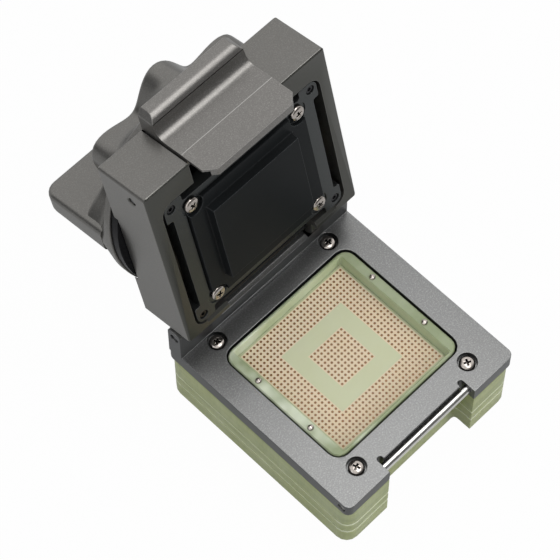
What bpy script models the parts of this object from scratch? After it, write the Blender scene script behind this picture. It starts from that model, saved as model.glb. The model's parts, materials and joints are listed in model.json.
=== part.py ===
"""Clamshell test socket for a ball-grid chip, with its lid resting open on the stop.

Metres, +Z up. The origin is the middle of the contact field, on the underside of the base.
+X runs along the front edge to the right, +Y runs back to the hinge.
The lid's pieces are modelled closed, in a frame on the hinge pin, and one empty opens them.
"""
import math

import bmesh
import bpy
from mathutils import Matrix, Vector

# Shared clearances and overruns
seat_gap = 0.0002
slide_gap = 0.0002
hole_gap = 0.0001
cut_over = 0.001
fuse_depth = 0.0005
match_tolerance = 0.00001
weld_tolerance = 0.000001

# Round-shape detail
round_steps = 28
fine_steps = 16
disc_steps = 64
corner_steps = 4

# Base: plan sizes and layers
base_width = 0.0498
front_y = -0.0261
pin_to_stack_back = 0.0024
pin_to_frame_back = 0.0025
stack_height = 0.0151
lower_thick = 0.0048
middle_thick = 0.0033
frame_thick = 0.0038
frame_corner = 0.0016
stack_corner = 0.0030
base_edge = 0.0003

# Window of the base frame and the latch notch at the front
window_width = 0.0374
window_depth = 0.0344
window_corner = 0.0030
notch_width = 0.0255
frame_notch_depth = 0.0030
stack_notch_depth = 0.0045
notch_corner = 0.0008
relief_radius = 0.00065
relief_reach = 0.0011

# Frame screws, dowels and latch bar
screw_x = 0.01665
screw_y = 0.0203
pan_head_radius = 0.00175
pan_head_height = 0.0012
pan_bore_radius = 0.00215
pan_bore_depth = 0.0016
frame_screw_radius = 0.0010
frame_screw_floor = 0.0020
recess_arm = 0.0011
recess_width = 0.00042
recess_depth = 0.0008
dowel_radius = 0.0010
dowel_x = 0.0216
dowel_floor = 0.0010
bar_radius = 0.00095
bar_setback = 0.0021
bar_drop = 0.0019
bar_left_inset = 0.0003
bar_right_reach = 0.0044

# Hinge
pin_to_hinge_front = 0.0018
pin_to_ear_back = 0.0019
riser_height = 0.0040
pin_height = 0.00686
pin_radius = 0.0010
pin_end_inset = 0.0003
ear_width = 0.0042
ear_round = 0.0025
rib_half_width = 0.0127
rib_height = 0.0047
rib_chamfer = 0.0006

# Chip guide and its springs
guide_gap = 0.0004
guide_below = 0.0032
guide_nest_below_frame = 0.0029
guide_rim_height = 0.0016
guide_travel = 0.0005
nest_size = 0.0313
nest_flare = 0.0006
guide_screw_x = 0.0171
guide_screw_y = 0.0076
guide_head_radius = 0.0007
guide_head_height = 0.0005
guide_screw_radius = 0.0004
guide_screw_length = 0.0070
spring_post_x = 0.0165
spring_post_y = 0.0125
spring_well_radius = 0.0012
spring_well_depth = 0.0022
guide_spring_radius = 0.0008
guide_spring_wire = 0.00012

# Lid: thickness, length and the place of the pin in it
lid_open_deg = 102.8
lid_width = 0.0491
lid_heel = 0.0018
lid_head = 0.0058
lid_thick = 0.0138
lid_edge = 0.0003
lid_corner = 0.0007
lid_end_to_pin = 0.0028
lid_face_to_pin = 0.00525
lug_radius = 0.0026
lug_gap = 0.0003
lug_inner_x = 0.0133

# Lid pocket, notch and rear recess
pocket_width = 0.0434
pocket_length = 0.0396
pocket_corner = 0.0028
pocket_depth = 0.0088
pocket_chamfer = 0.0006
lid_notch_half = 0.0129
ring_side_gap = 0.0003
disc_recess_depth = 0.00135
shaft_bore_radius = 0.0052

# Latch
latch_half_width = 0.0124
latch_slot_half = 0.0127
latch_pin_inset = 0.0037
latch_pin_w = 0.0046
latch_pin_radius = 0.00075
latch_knuckle_radius = 0.0019
latch_slot_gap = 0.0003
latch_face_proud = 0.0008
latch_tip_proud = 0.0005
latch_bend_w = 0.0021
latch_plate_thick = 0.0019
latch_tip_w = -0.0058
latch_tooth_thick = 0.0011
latch_tooth_inset = 0.0013
latch_relief_inset = 0.0001
latch_neck_w = 0.0008
latch_corner_cut = 0.0022
latch_corner_reach = 0.0038
lip_front_w = 0.0093
lip_back_w = 0.0138
lip_rise = 0.0056
lip_round = 0.0018
lip_fillet = 0.0018
lip_corner_cut = 0.0012
ring_relief_gap = 0.0022
ring_relief_w = 0.0115
tail_under_inset = 0.0013
tail_floor_inset = 0.0046
latch_spring_x = 0.0070
latch_spring_w = 0.0105
latch_spring_radius = 0.0011
latch_spring_wire = 0.00018
latch_spring_well = 0.0012

# Knob, thrust ring and drive shaft, along the lid's normal
ring_radius = 0.0262
ring_bore_radius = 0.0090
ring_thick = 0.0018
knob_overhang = 0.0004
knob_base_thick = 0.0028
lobe_count = 8
lobe_mean_radius = 0.0235
lobe_swing = 0.0029
lobe_thick = 0.0046
points_per_lobe = 10
wing_half_width = 0.0262
wing_thick = 0.0064
wing_end_w = 0.0353
wing_corner = 0.0028
wing_edge = 0.0012
knob_cavity_radius = 0.0180
knob_cavity_height = 0.0048
knob_hub_radius = 0.0080
shaft_radius = 0.0050
shaft_top_inset = 0.0012
shaft_collar_radius = 0.0075
shaft_collar_thick = 0.0016
shaft_tip_radius = 0.0035
shaft_tip_length = 0.0034
knob_pin_radius = 0.0008
knob_pin_w = 0.0164

# Floating plate, pusher and ram nut
plate_side_gap = 0.00225
plate_end_gap = 0.0024
plate_face_w = 0.0002
plate_thick = 0.0032
tab_side_gap = 0.0007
tab_end_gap = 0.00045
tab_width = 0.0048
tab_length = 0.00505
tab_round = 0.0018
tab_fillet = 0.0005
tab_corner = 0.0003
ear_side_inset = 0.0018
ear_end_inset = 0.0019
plate_pocket_depth = 0.0010
pusher_side_margin = 0.00335
pusher_end_margin = 0.00215
pusher_corner = 0.0006
pusher_face_w = -0.0006
island_side_inset = 0.0043
island_front_inset = 0.00355
island_back_inset = 0.00505
island_rise = 0.00205
island_draft = 0.0003
pusher_screw_side_inset = 0.00145
pusher_screw_end_inset = 0.0006
pusher_head_height = 0.0010
pusher_bore_radius = 0.0025
pusher_bore_floor_w = 0.0005
pusher_screw_radius = 0.0009
pusher_screw_length = 0.0024
shoulder_radius = 0.0006
shoulder_head_radius = 0.0009
shoulder_head_height = 0.0006
shoulder_head_w = 0.0005
shoulder_bore_radius = 0.0011
shoulder_bore_depth = 0.0025
shoulder_thread_length = 0.0022
return_spring_radius = 0.00085
return_spring_wire = 0.00012
nut_flange_radius = 0.0085
nut_flange_thick = 0.0014
nut_hub_radius = 0.0062
spring_turns = 3
spring_points_per_turn = 6

# Screw-head profiles as (radius share, height share), from the middle outwards
pan_dome_shares = ((0, 1), (0.45, 0.95), (0.8, 0.79), (1, 0.46), (1, 0))
button_dome_shares = ((0, 1), (0.6, 0.9), (1, 0.4), (1, 0))

# Places worked out from the sizes above
half_width = base_width / 2
pusher_v = lid_heel + pocket_length / 2
lid_length = pusher_v + pocket_length / 2 + lid_head
middle_floor = lower_thick + seat_gap
middle_top = middle_floor + middle_thick
upper_floor = middle_top + seat_gap
frame_floor = stack_height + seat_gap
frame_top = frame_floor + frame_thick
nest_z = frame_top - guide_nest_below_frame
guide_floor = nest_z - guide_below
pocket_floor = guide_floor - guide_travel - seat_gap
guide_rim_top = nest_z + guide_rim_height
pin_z = frame_top + pin_height
pin_y = pusher_v + lid_end_to_pin
stack_back_y = pin_y + pin_to_stack_back
frame_back_y = pin_y + pin_to_frame_back
hinge_front_y = pin_y - pin_to_hinge_front
ear_back_y = pin_y + pin_to_ear_back
bar_y = front_y + bar_setback
bar_z = frame_top - bar_drop
frame_notch_y = front_y + frame_notch_depth
stack_notch_y = front_y + stack_notch_depth
ear_inner_x = half_width - ear_width
lug_outer_x = ear_inner_x - lug_gap
latch_pin_v = lid_length - latch_pin_inset
latch_face_v = lid_length + latch_face_proud
latch_tip_v = lid_length + latch_tip_proud
latch_tooth_v = lid_length - latch_tooth_inset
latch_relief_v = lid_length - latch_relief_inset
lip_top_v = lid_length + lip_rise
tail_under_v = lid_length - tail_under_inset
tail_floor_v = lid_length - tail_floor_inset
disc_recess_radius = ring_radius + ring_side_gap
ring_relief_radius = ring_radius + ring_relief_gap
knob_base_radius = ring_radius + knob_overhang
recess_floor_w = lid_thick - disc_recess_depth
ring_w = recess_floor_w + seat_gap
knob_w = ring_w + ring_thick + seat_gap
lobe_w = knob_w + knob_base_thick
lobe_top_w = lobe_w + lobe_thick
hub_bore_top_w = knob_w + knob_cavity_height
collar_w = pocket_depth - seat_gap - shaft_collar_thick
plate_width = pocket_width - 2 * plate_side_gap
plate_length = pocket_length - 2 * plate_end_gap
tab_reach_x = pocket_width / 2 - tab_side_gap
tab_reach_y = pocket_length / 2 - tab_end_gap
tab_start_x = tab_reach_x - tab_width
tab_start_y = tab_reach_y - tab_length
ear_x = tab_reach_x - ear_side_inset
ear_v = tab_reach_y - ear_end_inset
pusher_width = plate_width - 2 * pusher_side_margin
pusher_length = plate_length - 2 * pusher_end_margin
island_half_x = pusher_width / 2 - island_side_inset
island_front_y = island_front_inset - pusher_length / 2
island_back_y = pusher_length / 2 - island_back_inset
pusher_screw_x = pusher_width / 2 - pusher_screw_side_inset
pusher_screw_y = pusher_length / 2 - pusher_screw_end_inset
plate_back_w = plate_face_w + plate_thick
nut_w = plate_back_w + seat_gap
nut_top_w = collar_w - seat_gap


def clear_scene():
    """Removes whatever the file holds, so that the model starts from nothing."""
    for item in list(bpy.data.objects):
        bpy.data.objects.remove(item, do_unlink=True)


def make_material(name, colour, roughness, metallic):
    material = bpy.data.materials.new(name)
    material.use_nodes = True
    shader = material.node_tree.nodes["Principled BSDF"]
    shader.inputs["Base Color"].default_value = (*colour, 1)
    shader.inputs["Roughness"].default_value = roughness
    shader.inputs["Metallic"].default_value = metallic
    return material


clear_scene()
parts = bpy.data.collections.new("chip_test_socket")
cutters = bpy.data.collections.new("cutters")
bpy.context.scene.collection.children.link(parts)
bpy.context.scene.collection.children.link(cutters)

anodised = make_material("grey_anodised", (0.16, 0.16, 0.155), 0.42, 0.85)
plate_grey = make_material("plate_grey", (0.10, 0.10, 0.105), 0.40, 0.85)
black = make_material("black_anodised", (0.012, 0.012, 0.014), 0.38, 0.60)
laminate = make_material("green_laminate", (0.50, 0.56, 0.36), 0.45, 0.0)
steel = make_material("polished_steel", (0.72, 0.71, 0.69), 0.22, 1.0)
spring_steel = make_material("spring_steel", (0.55, 0.54, 0.52), 0.30, 1.0)


def add_empty(name, place, parent=None, turn=0):
    """An empty on a joint's axis, turned about X by the given angle in degrees."""
    empty = bpy.data.objects.new(name, None)
    empty.location = place
    empty.rotation_euler = (math.radians(turn), 0, 0)
    empty.parent = parent
    parts.objects.link(empty)
    return empty


def add_piece(name, mesh, material, parent=None):
    """A named sub-part, or a cutter where no material is given."""
    piece = bpy.data.objects.new(name, mesh)
    piece.parent = parent
    if material is None:
        cutters.objects.link(piece)
        piece.hide_render = True
        piece.display_type = 'WIRE'
    else:
        mesh.materials.append(material)
        parts.objects.link(piece)
    return piece


def mesh_from(shape, name):
    mesh = bpy.data.meshes.new(name)
    bmesh.ops.recalc_face_normals(shape, faces=shape.faces)
    shape.to_mesh(mesh)
    shape.free()
    return mesh


def box(name, low, high, material=None, parent=None, corner=0, edge=0, flare=0):
    """A block between two corners, with rounded upright edges, eased rims or a flared top."""
    size = Vector(high) - Vector(low)
    shape = bmesh.new()
    bmesh.ops.create_cube(shape, size=1)
    bmesh.ops.scale(shape, vec=size, verts=shape.verts)
    bmesh.ops.translate(shape, vec=(Vector(high) + Vector(low)) / 2, verts=shape.verts)
    if flare:
        middle = (Vector(high) + Vector(low)) / 2
        for vert in shape.verts:
            if vert.co.z > middle.z:
                vert.co.x += math.copysign(flare, vert.co.x - middle.x)
                vert.co.y += math.copysign(flare, vert.co.y - middle.y)
    if corner:
        upright = [e for e in shape.edges if abs((e.verts[0].co - e.verts[1].co).z) > size.z / 2]
        bmesh.ops.bevel(shape, geom=upright, offset=corner, segments=corner_steps,
                        affect='EDGES', profile=0.5)
    if edge:
        ends = (low[2], high[2])
        rim = [e for e in shape.edges if any(all(abs(v.co.z - end) < match_tolerance for v in e.verts)
                                             for end in ends)]
        bmesh.ops.bevel(shape, geom=rim, offset=edge, segments=1, affect='EDGES')
    return add_piece(name, mesh_from(shape, name), material, parent)


def rod(name, radius, start, end, material=None, parent=None, steps=fine_steps, edge=0):
    """A round bar from one point to another, with its two rims eased if asked."""
    way = Vector(end) - Vector(start)
    shape = bmesh.new()
    bmesh.ops.create_cone(shape, cap_ends=True, segments=steps, radius1=radius,
                          radius2=radius, depth=way.length)
    if edge:
        rims = [e for e in shape.edges if abs((e.verts[0].co - e.verts[1].co).z) < edge]
        bmesh.ops.bevel(shape, geom=rims, offset=edge, segments=1, affect='EDGES')
    turn = Vector((0, 0, 1)).rotation_difference(way).to_matrix().to_4x4()
    place = Matrix.Translation((Vector(start) + Vector(end)) / 2)
    bmesh.ops.transform(shape, matrix=place @ turn, verts=shape.verts)
    return add_piece(name, mesh_from(shape, name), material, parent)


def turned(name, profile, place, material=None, parent=None, steps=fine_steps):
    """A turned solid: a (radius, height) profile, top to bottom, round the Z axis."""
    shape = bmesh.new()
    line = [shape.verts.new((radius, 0, height)) for radius, height in profile]
    for first, second in zip(line, line[1:]):
        shape.edges.new((first, second))
    bmesh.ops.spin(shape, geom=shape.verts[:] + shape.edges[:], cent=(0, 0, 0), axis=(0, 0, 1),
                   angle=math.tau, steps=steps, use_merge=True)
    bmesh.ops.remove_doubles(shape, verts=shape.verts, dist=match_tolerance)
    bmesh.ops.translate(shape, vec=place, verts=shape.verts)
    return add_piece(name, mesh_from(shape, name), material, parent)


def flat_curve(name, points, thickness):
    """A flat outline as a 2D curve, extruded to both sides and made a closed mesh."""
    curve = bpy.data.curves.new(name, 'CURVE')
    curve.dimensions = '2D'
    curve.fill_mode = 'BOTH'
    curve.extrude = thickness / 2
    spline = curve.splines.new('POLY')
    spline.points.add(len(points) - 1)
    for point, (across, up) in zip(spline.points, points):
        point.co = (across, up, 0, 1)
    spline.use_cyclic_u = True
    holder = bpy.data.objects.new(name, curve)
    parts.objects.link(holder)
    seen = holder.evaluated_get(bpy.context.evaluated_depsgraph_get())
    mesh = bpy.data.meshes.new_from_object(seen)
    bpy.data.objects.remove(holder, do_unlink=True)
    shape = bmesh.new()
    shape.from_mesh(mesh)
    bmesh.ops.remove_doubles(shape, verts=shape.verts, dist=match_tolerance)
    bmesh.ops.dissolve_limit(shape, angle_limit=math.radians(0.5), verts=shape.verts,
                             edges=shape.edges)
    return shape


def side_prism(name, points, low_x, high_x, material=None, parent=None):
    """A (Y, Z) outline run along X between two places."""
    shape = flat_curve(name, points, high_x - low_x)
    stand = Matrix(((0, 0, 1), (1, 0, 0), (0, 1, 0))).to_4x4()
    place = Matrix.Translation(((low_x + high_x) / 2, 0, 0))
    bmesh.ops.transform(shape, matrix=place @ stand, verts=shape.verts)
    return add_piece(name, mesh_from(shape, name), material, parent)


def plan_prism(name, points, low_z, high_z, material=None, parent=None):
    """An (X, Y) outline run along Z between two heights."""
    shape = flat_curve(name, points, high_z - low_z)
    bmesh.ops.translate(shape, vec=(0, 0, (low_z + high_z) / 2), verts=shape.verts)
    return add_piece(name, mesh_from(shape, name), material, parent)


def slab(name, points, low_z, high_z, material=None, parent=None):
    """An (X, Y) outline with inner corners in line, extruded as one face between two heights."""
    shape = bmesh.new()
    face = shape.faces.new([shape.verts.new((x, y, low_z)) for x, y in points])
    grown = bmesh.ops.extrude_face_region(shape, geom=[face])
    raised = [item for item in grown["geom"] if isinstance(item, bmesh.types.BMVert)]
    bmesh.ops.translate(shape, vec=(0, 0, high_z - low_z), verts=raised)
    return add_piece(name, mesh_from(shape, name), material, parent)


def coil(name, radius, wire, start, end, material, parent=None):
    """A helical spring between two points, made as a bevelled wire and then a mesh."""
    way = Vector(end) - Vector(start)
    curve = bpy.data.curves.new(name, 'CURVE')
    curve.dimensions = '3D'
    curve.bevel_depth = wire
    curve.bevel_resolution = 1
    curve.use_fill_caps = True
    spline = curve.splines.new('POLY')
    count = spring_turns * spring_points_per_turn
    spline.points.add(count)
    rise = way.length - 2 * wire
    for step, point in enumerate(spline.points):
        angle = math.tau * step / spring_points_per_turn
        height = wire + rise * step / count
        point.co = (radius * math.cos(angle), radius * math.sin(angle), height, 1)
    holder = bpy.data.objects.new(name, curve)
    parts.objects.link(holder)
    seen = holder.evaluated_get(bpy.context.evaluated_depsgraph_get())
    mesh = bpy.data.meshes.new_from_object(seen)
    bpy.data.objects.remove(holder, do_unlink=True)
    shape = bmesh.new()
    shape.from_mesh(mesh)
    bmesh.ops.remove_doubles(shape, verts=shape.verts, dist=weld_tolerance)
    turn = Vector((0, 0, 1)).rotation_difference(way).to_matrix().to_4x4()
    bmesh.ops.transform(shape, matrix=Matrix.Translation(start) @ turn, verts=shape.verts)
    return add_piece(name, mesh_from(shape, name), material, parent)


def combine(target, tool, operation):
    modifier = target.modifiers.new(tool.name, 'BOOLEAN')
    modifier.operation = operation
    modifier.solver = 'EXACT'
    modifier.object = tool
    return target


def cut(target, *tools):
    for tool in tools:
        combine(target, tool, 'DIFFERENCE')


def fuse(target, *tools):
    for tool in tools:
        combine(target, tool, 'UNION')


def arc(centre, radius, first, last, steps):
    """Points on a circle, from one angle in degrees to another."""
    turns = [math.radians(first + (last - first) * n / steps) for n in range(steps + 1)]
    return [(centre[0] + radius * math.cos(a), centre[1] + radius * math.sin(a)) for a in turns]


def four(across, along_y):
    """The four corners of a screw pattern, with a word for each."""
    return (("front_left", -across, -along_y), ("front_right", across, -along_y),
            ("rear_left", -across, along_y), ("rear_right", across, along_y))


def cross_recess(name, place, top, parent=None):
    """The crossed slot in a screw's head, as a pair of tapered blades."""
    blades = []
    for word, half_x, half_y in (("across", recess_arm, recess_width),
                                 ("along", recess_width, recess_arm)):
        low = (place[0] - half_x / 2, place[1] - half_y / 2, top - recess_depth)
        high = (place[0] + half_x / 2, place[1] + half_y / 2, top + cut_over)
        blades.append(box(f"{name}_{word}", low, high, parent=parent, flare=recess_width / 2))
    return blades


def pan_screw(name, place, seat, tip, radius, parent=None, height=pan_head_height):
    """A pan-head screw with a domed head, standing on its seat and reaching to its tip."""
    profile = [(pan_head_radius * across, height * up) for across, up in pan_dome_shares]
    profile += [(radius, 0), (radius, tip - seat), (0, tip - seat)]
    screw = turned(name, profile, (place[0], place[1], seat), steel, parent)
    cut(screw, *cross_recess(name + "_recess", place, seat + height, parent))
    return screw


def base_outline(back_y, corner, notch):
    """The plan of a base layer: rounded corners and the latch notch in front."""
    half = half_width
    points = arc((-half + corner, back_y - corner), corner, 180, 90, corner_steps)
    points += arc((half - corner, back_y - corner), corner, 90, 0, corner_steps)
    points += arc((half - corner, front_y + corner), corner, 0, -90, corner_steps)
    points += [(notch_width / 2, front_y)]
    points += notch
    points += [(-notch_width / 2, front_y)]
    points += arc((-half + corner, front_y + corner), corner, -90, -180, corner_steps)
    return points


def stack_notch():
    """The deeper notch of the laminate layers, with small round corners."""
    inner, half = notch_corner, notch_width / 2
    points = arc((half - inner, stack_notch_y - inner), inner, 0, 90, 2)
    return points + arc((-half + inner, stack_notch_y - inner), inner, 90, 180, 2)


def frame_notch():
    """The frame's shallower notch, with a round-ended relief slot in each back corner."""
    inner, half = relief_radius, notch_width / 2
    centre_y = frame_notch_y + relief_reach - relief_radius
    points = arc((half - inner, centre_y), inner, 0, 180, corner_steps * 2)
    points += [(half - 2 * inner, frame_notch_y), (-half + 2 * inner, frame_notch_y)]
    return points + arc((-half + inner, centre_y), inner, 0, 180, corner_steps * 2)


def add_hinge_ears(frame):
    """The two round-topped ears that carry the ends of the hinge pin."""
    for word, side in (("left", -1), ("right", 1)):
        reach = math.sqrt(ear_round ** 2 - (pin_y - hinge_front_y) ** 2)
        front_angle = 180 - math.degrees(math.atan2(reach, pin_y - hinge_front_y))
        back_angle = math.degrees(math.acos((ear_back_y - pin_y) / ear_round))
        outline = [(hinge_front_y, frame_top - fuse_depth), (ear_back_y, frame_top - fuse_depth)]
        outline += arc((pin_y, pin_z), ear_round, back_angle, front_angle, corner_steps * 2)
        low, high = sorted((side * ear_inner_x, side * half_width))
        fuse(frame, side_prism(f"frame_ear_{word}", outline, low, high))


def add_hinge_rib(frame):
    """The low riser between the ears, and the higher rib in its middle that stops the lid."""
    foot, top = frame_top - fuse_depth, frame_top + riser_height
    riser = [(hinge_front_y, foot), (ear_back_y, foot), (ear_back_y, top), (hinge_front_y, top)]
    fuse(frame, side_prism("frame_riser", riser, -ear_inner_x - fuse_depth, ear_inner_x + fuse_depth))
    top = frame_top + rib_height
    back, front = ear_back_y - match_tolerance, hinge_front_y + match_tolerance
    rib = [(front, foot), (back, foot), (back, top), (front + rib_chamfer, top), (front, top - rib_chamfer)]
    fuse(frame, side_prism("frame_rib", rib, -rib_half_width, rib_half_width))


def make_base_frame():
    """The metal top frame, with the hinge ears and rib standing on its rear edge."""
    outline = base_outline(frame_back_y, frame_corner, frame_notch())
    frame = plan_prism("base_frame", outline, frame_floor, frame_top, anodised)
    add_hinge_ears(frame)
    add_hinge_rib(frame)
    window_low = (-window_width / 2, -window_depth / 2, frame_floor - cut_over)
    window_high = (window_width / 2, window_depth / 2, frame_top + cut_over)
    cut(frame, box("frame_window", window_low, window_high, corner=window_corner))
    for word, x, y in four(screw_x, screw_y):
        cut(frame, rod(f"frame_bore_{word}", pan_bore_radius, (x, y, frame_top - pan_bore_depth),
                       (x, y, frame_top + cut_over), steps=round_steps))
        cut(frame, rod(f"frame_hole_{word}", frame_screw_radius + hole_gap, (x, y, frame_floor - cut_over),
                       (x, y, frame_top), steps=fine_steps))
    cut(frame, rod("frame_pin_hole", pin_radius + hole_gap, (-half_width - cut_over, pin_y, pin_z),
                   (half_width + cut_over, pin_y, pin_z)))
    cut(frame, rod("frame_bar_hole", bar_radius + hole_gap, (-half_width - cut_over, bar_y, bar_z),
                   (notch_width / 2 + bar_right_reach + seat_gap, bar_y, bar_z)))
    return frame


def stack_holes(plate, word, low, high):
    """The screw and dowel holes that run through a layer of the stack."""
    for corner, x, y in four(screw_x, screw_y):
        cut(plate, rod(f"{word}_screw_hole_{corner}", frame_screw_radius + hole_gap,
                       (x, y, low), (x, y, high), steps=12))
    for side, x in (("left", -dowel_x), ("right", dowel_x)):
        cut(plate, rod(f"{word}_dowel_hole_{side}", dowel_radius + hole_gap,
                       (x, 0, low), (x, 0, high), steps=12))


def make_stack():
    """The three laminate layers under the frame; the top one holds the guide's pocket."""
    outline = base_outline(stack_back_y, stack_corner, stack_notch())
    lower = plan_prism("lower_plate", outline, 0, lower_thick, laminate)
    stack_holes(lower, "lower", dowel_floor, lower_thick + cut_over)
    middle = plan_prism("middle_plate", outline, middle_floor, middle_top, laminate)
    stack_holes(middle, "middle", middle_floor - cut_over, middle_top + cut_over)
    upper = plan_prism("upper_plate", outline, upper_floor, stack_height, laminate)
    low = (-window_width / 2, -window_depth / 2, pocket_floor)
    high = (window_width / 2, window_depth / 2, stack_height + cut_over)
    cut(upper, box("upper_pocket", low, high, corner=window_corner))
    stack_holes(upper, "upper", upper_floor - cut_over, stack_height + cut_over)
    for corner, x, y in four(spring_post_x, spring_post_y):
        cut(upper, rod(f"upper_well_{corner}", spring_well_radius, (x, y, pocket_floor - spring_well_depth),
                       (x, y, pocket_floor + cut_over), steps=12))
    tip = guide_rim_top + seat_gap - guide_screw_length
    for corner, x, y in four(guide_screw_x, guide_screw_y):
        cut(upper, rod(f"upper_tap_{corner}", guide_screw_radius + hole_gap, (x, y, tip - seat_gap),
                       (x, y, pocket_floor + cut_over), steps=8))


def make_guide(parent):
    """The floating chip guide, with its recessed nest and sloping lead-in walls."""
    half_x = window_width / 2 - guide_gap
    half_y = window_depth / 2 - guide_gap
    guide = box("chip_guide", (-half_x, -half_y, guide_floor), (half_x, half_y, guide_rim_top),
                laminate, parent, corner=window_corner - guide_gap, edge=base_edge)
    nest = nest_size / 2
    cut(guide, box("guide_nest", (-nest, -nest, nest_z), (nest, nest, guide_rim_top + cut_over),
                   parent=parent, corner=guide_gap, flare=nest_flare))
    for corner, x, y in four(guide_screw_x, guide_screw_y):
        cut(guide, rod(f"guide_hole_{corner}", guide_screw_radius + hole_gap, (x, y, guide_floor - cut_over),
                       (x, y, guide_rim_top + cut_over), parent=parent, steps=8))
    return guide


def make_guide_hardware():
    """Springs that lift the guide and small screws that stop it at the top."""
    for corner, x, y in four(spring_post_x, spring_post_y):
        coil(f"guide_spring_{corner}", guide_spring_radius, guide_spring_wire,
             (x, y, pocket_floor - spring_well_depth + seat_gap), (x, y, guide_floor - seat_gap),
             spring_steel)
    for corner, x, y in four(guide_screw_x, guide_screw_y):
        profile = [(guide_head_radius * across, guide_head_height * up) for across, up in button_dome_shares]
        profile += [(guide_screw_radius, 0), (guide_screw_radius, -guide_screw_length),
                    (0, -guide_screw_length)]
        turned(f"guide_screw_{corner}", profile, (x, y, guide_rim_top + seat_gap), steel, steps=12)


def make_base_hardware():
    """Latch bar, hinge pin, dowels and the four screws that clamp the stack."""
    rod("latch_bar", bar_radius, (-half_width + bar_left_inset, bar_y, bar_z),
        (notch_width / 2 + bar_right_reach, bar_y, bar_z), steel, steps=fine_steps, edge=hole_gap)
    rod("hinge_pin", pin_radius, (-half_width + pin_end_inset, pin_y, pin_z),
        (half_width - pin_end_inset, pin_y, pin_z), steel, steps=fine_steps, edge=hole_gap)
    for side, x in (("left", -dowel_x), ("right", dowel_x)):
        rod(f"dowel_{side}", dowel_radius, (x, 0, dowel_floor + seat_gap),
            (x, 0, stack_height - seat_gap), steel, steps=12)
    seat = frame_top - pan_bore_depth + seat_gap
    for corner, x, y in four(screw_x, screw_y):
        pan_screw(f"frame_screw_{corner}", (x, y), seat, frame_screw_floor, frame_screw_radius)


def lid_y(v):
    """Closed-lid Y, from the pin, of a place v along the lid from its hinge end."""
    return -(lid_end_to_pin + v)


def lid_z(w):
    """Closed-lid Z, from the pin, of a depth w into the lid from its inner face."""
    return w - lid_face_to_pin


def lid_block(name, x, v, w, material=None, parent=None, **extra):
    """A block in lid measures: (low, high) pairs across, along and into the lid."""
    low = (x[0], lid_y(v[1]), lid_z(w[0]))
    high = (x[1], lid_y(v[0]), lid_z(w[1]))
    return box(name, low, high, material, parent, **extra)


def lid_rod(name, radius, x, v, w, material=None, parent=None, **extra):
    """A round bar along the lid's depth, at x across and v along it."""
    start, end = (x, lid_y(v), lid_z(w[0])), (x, lid_y(v), lid_z(w[1]))
    return rod(name, radius, start, end, material, parent, **extra)


def make_lid_frame(parent):
    """The thick lid frame: pocket, hinge lugs, latch slot and the recess for the knob's ring."""
    half = lid_width / 2
    lid = lid_block("lid_frame", (-half, half), (0, lid_length), (0, lid_thick), anodised, parent,
                    corner=lid_corner, edge=lid_edge)
    for word, side in (("left", -1), ("right", 1)):
        low, high = sorted((side * lug_inner_x, side * lug_outer_x))
        lug = arc((0, 0), lug_radius, -90, 90, corner_steps * 3)
        lug += [(lid_y(fuse_depth), lug_radius), (lid_y(fuse_depth), -lug_radius)]
        fuse(lid, side_prism(f"lid_lug_{word}", lug, low, high, parent=parent))
    half_pocket = pocket_width / 2
    first, last = pusher_v - pocket_length / 2, pusher_v + pocket_length / 2
    cut(lid, lid_block("lid_pocket", (-half_pocket, half_pocket), (first, last), (-cut_over, pocket_depth),
                       parent=parent, corner=pocket_corner))
    cut(lid, lid_block("lid_notch", (-lid_notch_half, lid_notch_half), (-cut_over, first + cut_over),
                       (-cut_over, pocket_depth), parent=parent))
    inside = first + cut_over
    slope = [(lid_y(first - pocket_chamfer - cut_over), lid_z(-cut_over)),
             (lid_y(inside), lid_z(-cut_over)), (lid_y(inside), lid_z(pocket_chamfer + cut_over))]
    reach = half_pocket - pocket_corner
    cut(lid, side_prism("lid_pocket_slope", slope, -reach, reach, parent=parent))
    slot = latch_slot_half
    knuckle_floor = latch_pin_v - latch_knuckle_radius - latch_slot_gap
    cut(lid, lid_block("lid_latch_slot", (-slot, slot), (knuckle_floor, lid_length + cut_over),
                       (-cut_over, latch_pin_w + latch_knuckle_radius + latch_slot_gap), parent=parent))
    cut(lid, lid_block("lid_tail_slot", (-slot, slot), (tail_floor_v, lid_length + cut_over),
                       (latch_pin_w, lid_thick + cut_over), parent=parent))
    cut(lid, lid_rod("lid_ring_recess", disc_recess_radius, 0, pusher_v,
                     (recess_floor_w, lid_thick + cut_over), parent=parent, steps=disc_steps))
    cut(lid, lid_rod("lid_shaft_bore", shaft_bore_radius, 0, pusher_v, (pocket_depth - cut_over, lid_thick),
                     parent=parent, steps=round_steps))
    cut(lid, rod("lid_pin_hole", pin_radius + hole_gap, (-half, 0, 0), (half, 0, 0), parent=parent))
    place_y, place_z = lid_y(latch_pin_v), lid_z(latch_pin_w)
    cut(lid, rod("lid_latch_pin_hole", latch_pin_radius + hole_gap, (-half - cut_over, place_y, place_z),
                 (half - lid_end_to_pin, place_y, place_z), parent=parent, steps=12))
    for corner, x, y in four(ear_x, ear_v):
        cut(lid, lid_rod(f"lid_tap_{corner}", shoulder_radius + hole_gap, x, pusher_v - y,
                         (pocket_depth - cut_over, pocket_depth + shoulder_thread_length + seat_gap),
                         parent=parent, steps=8))
    for side, x in (("left", -latch_spring_x), ("right", latch_spring_x)):
        place = (x, lid_y(tail_floor_v) - cut_over, lid_z(latch_spring_w))
        floor = (x, lid_y(tail_floor_v - latch_spring_well), lid_z(latch_spring_w))
        well = latch_spring_radius + latch_spring_wire + slide_gap
        cut(lid, rod(f"lid_spring_well_{side}", well, place, floor, parent=parent, steps=12))
    return lid


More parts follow.
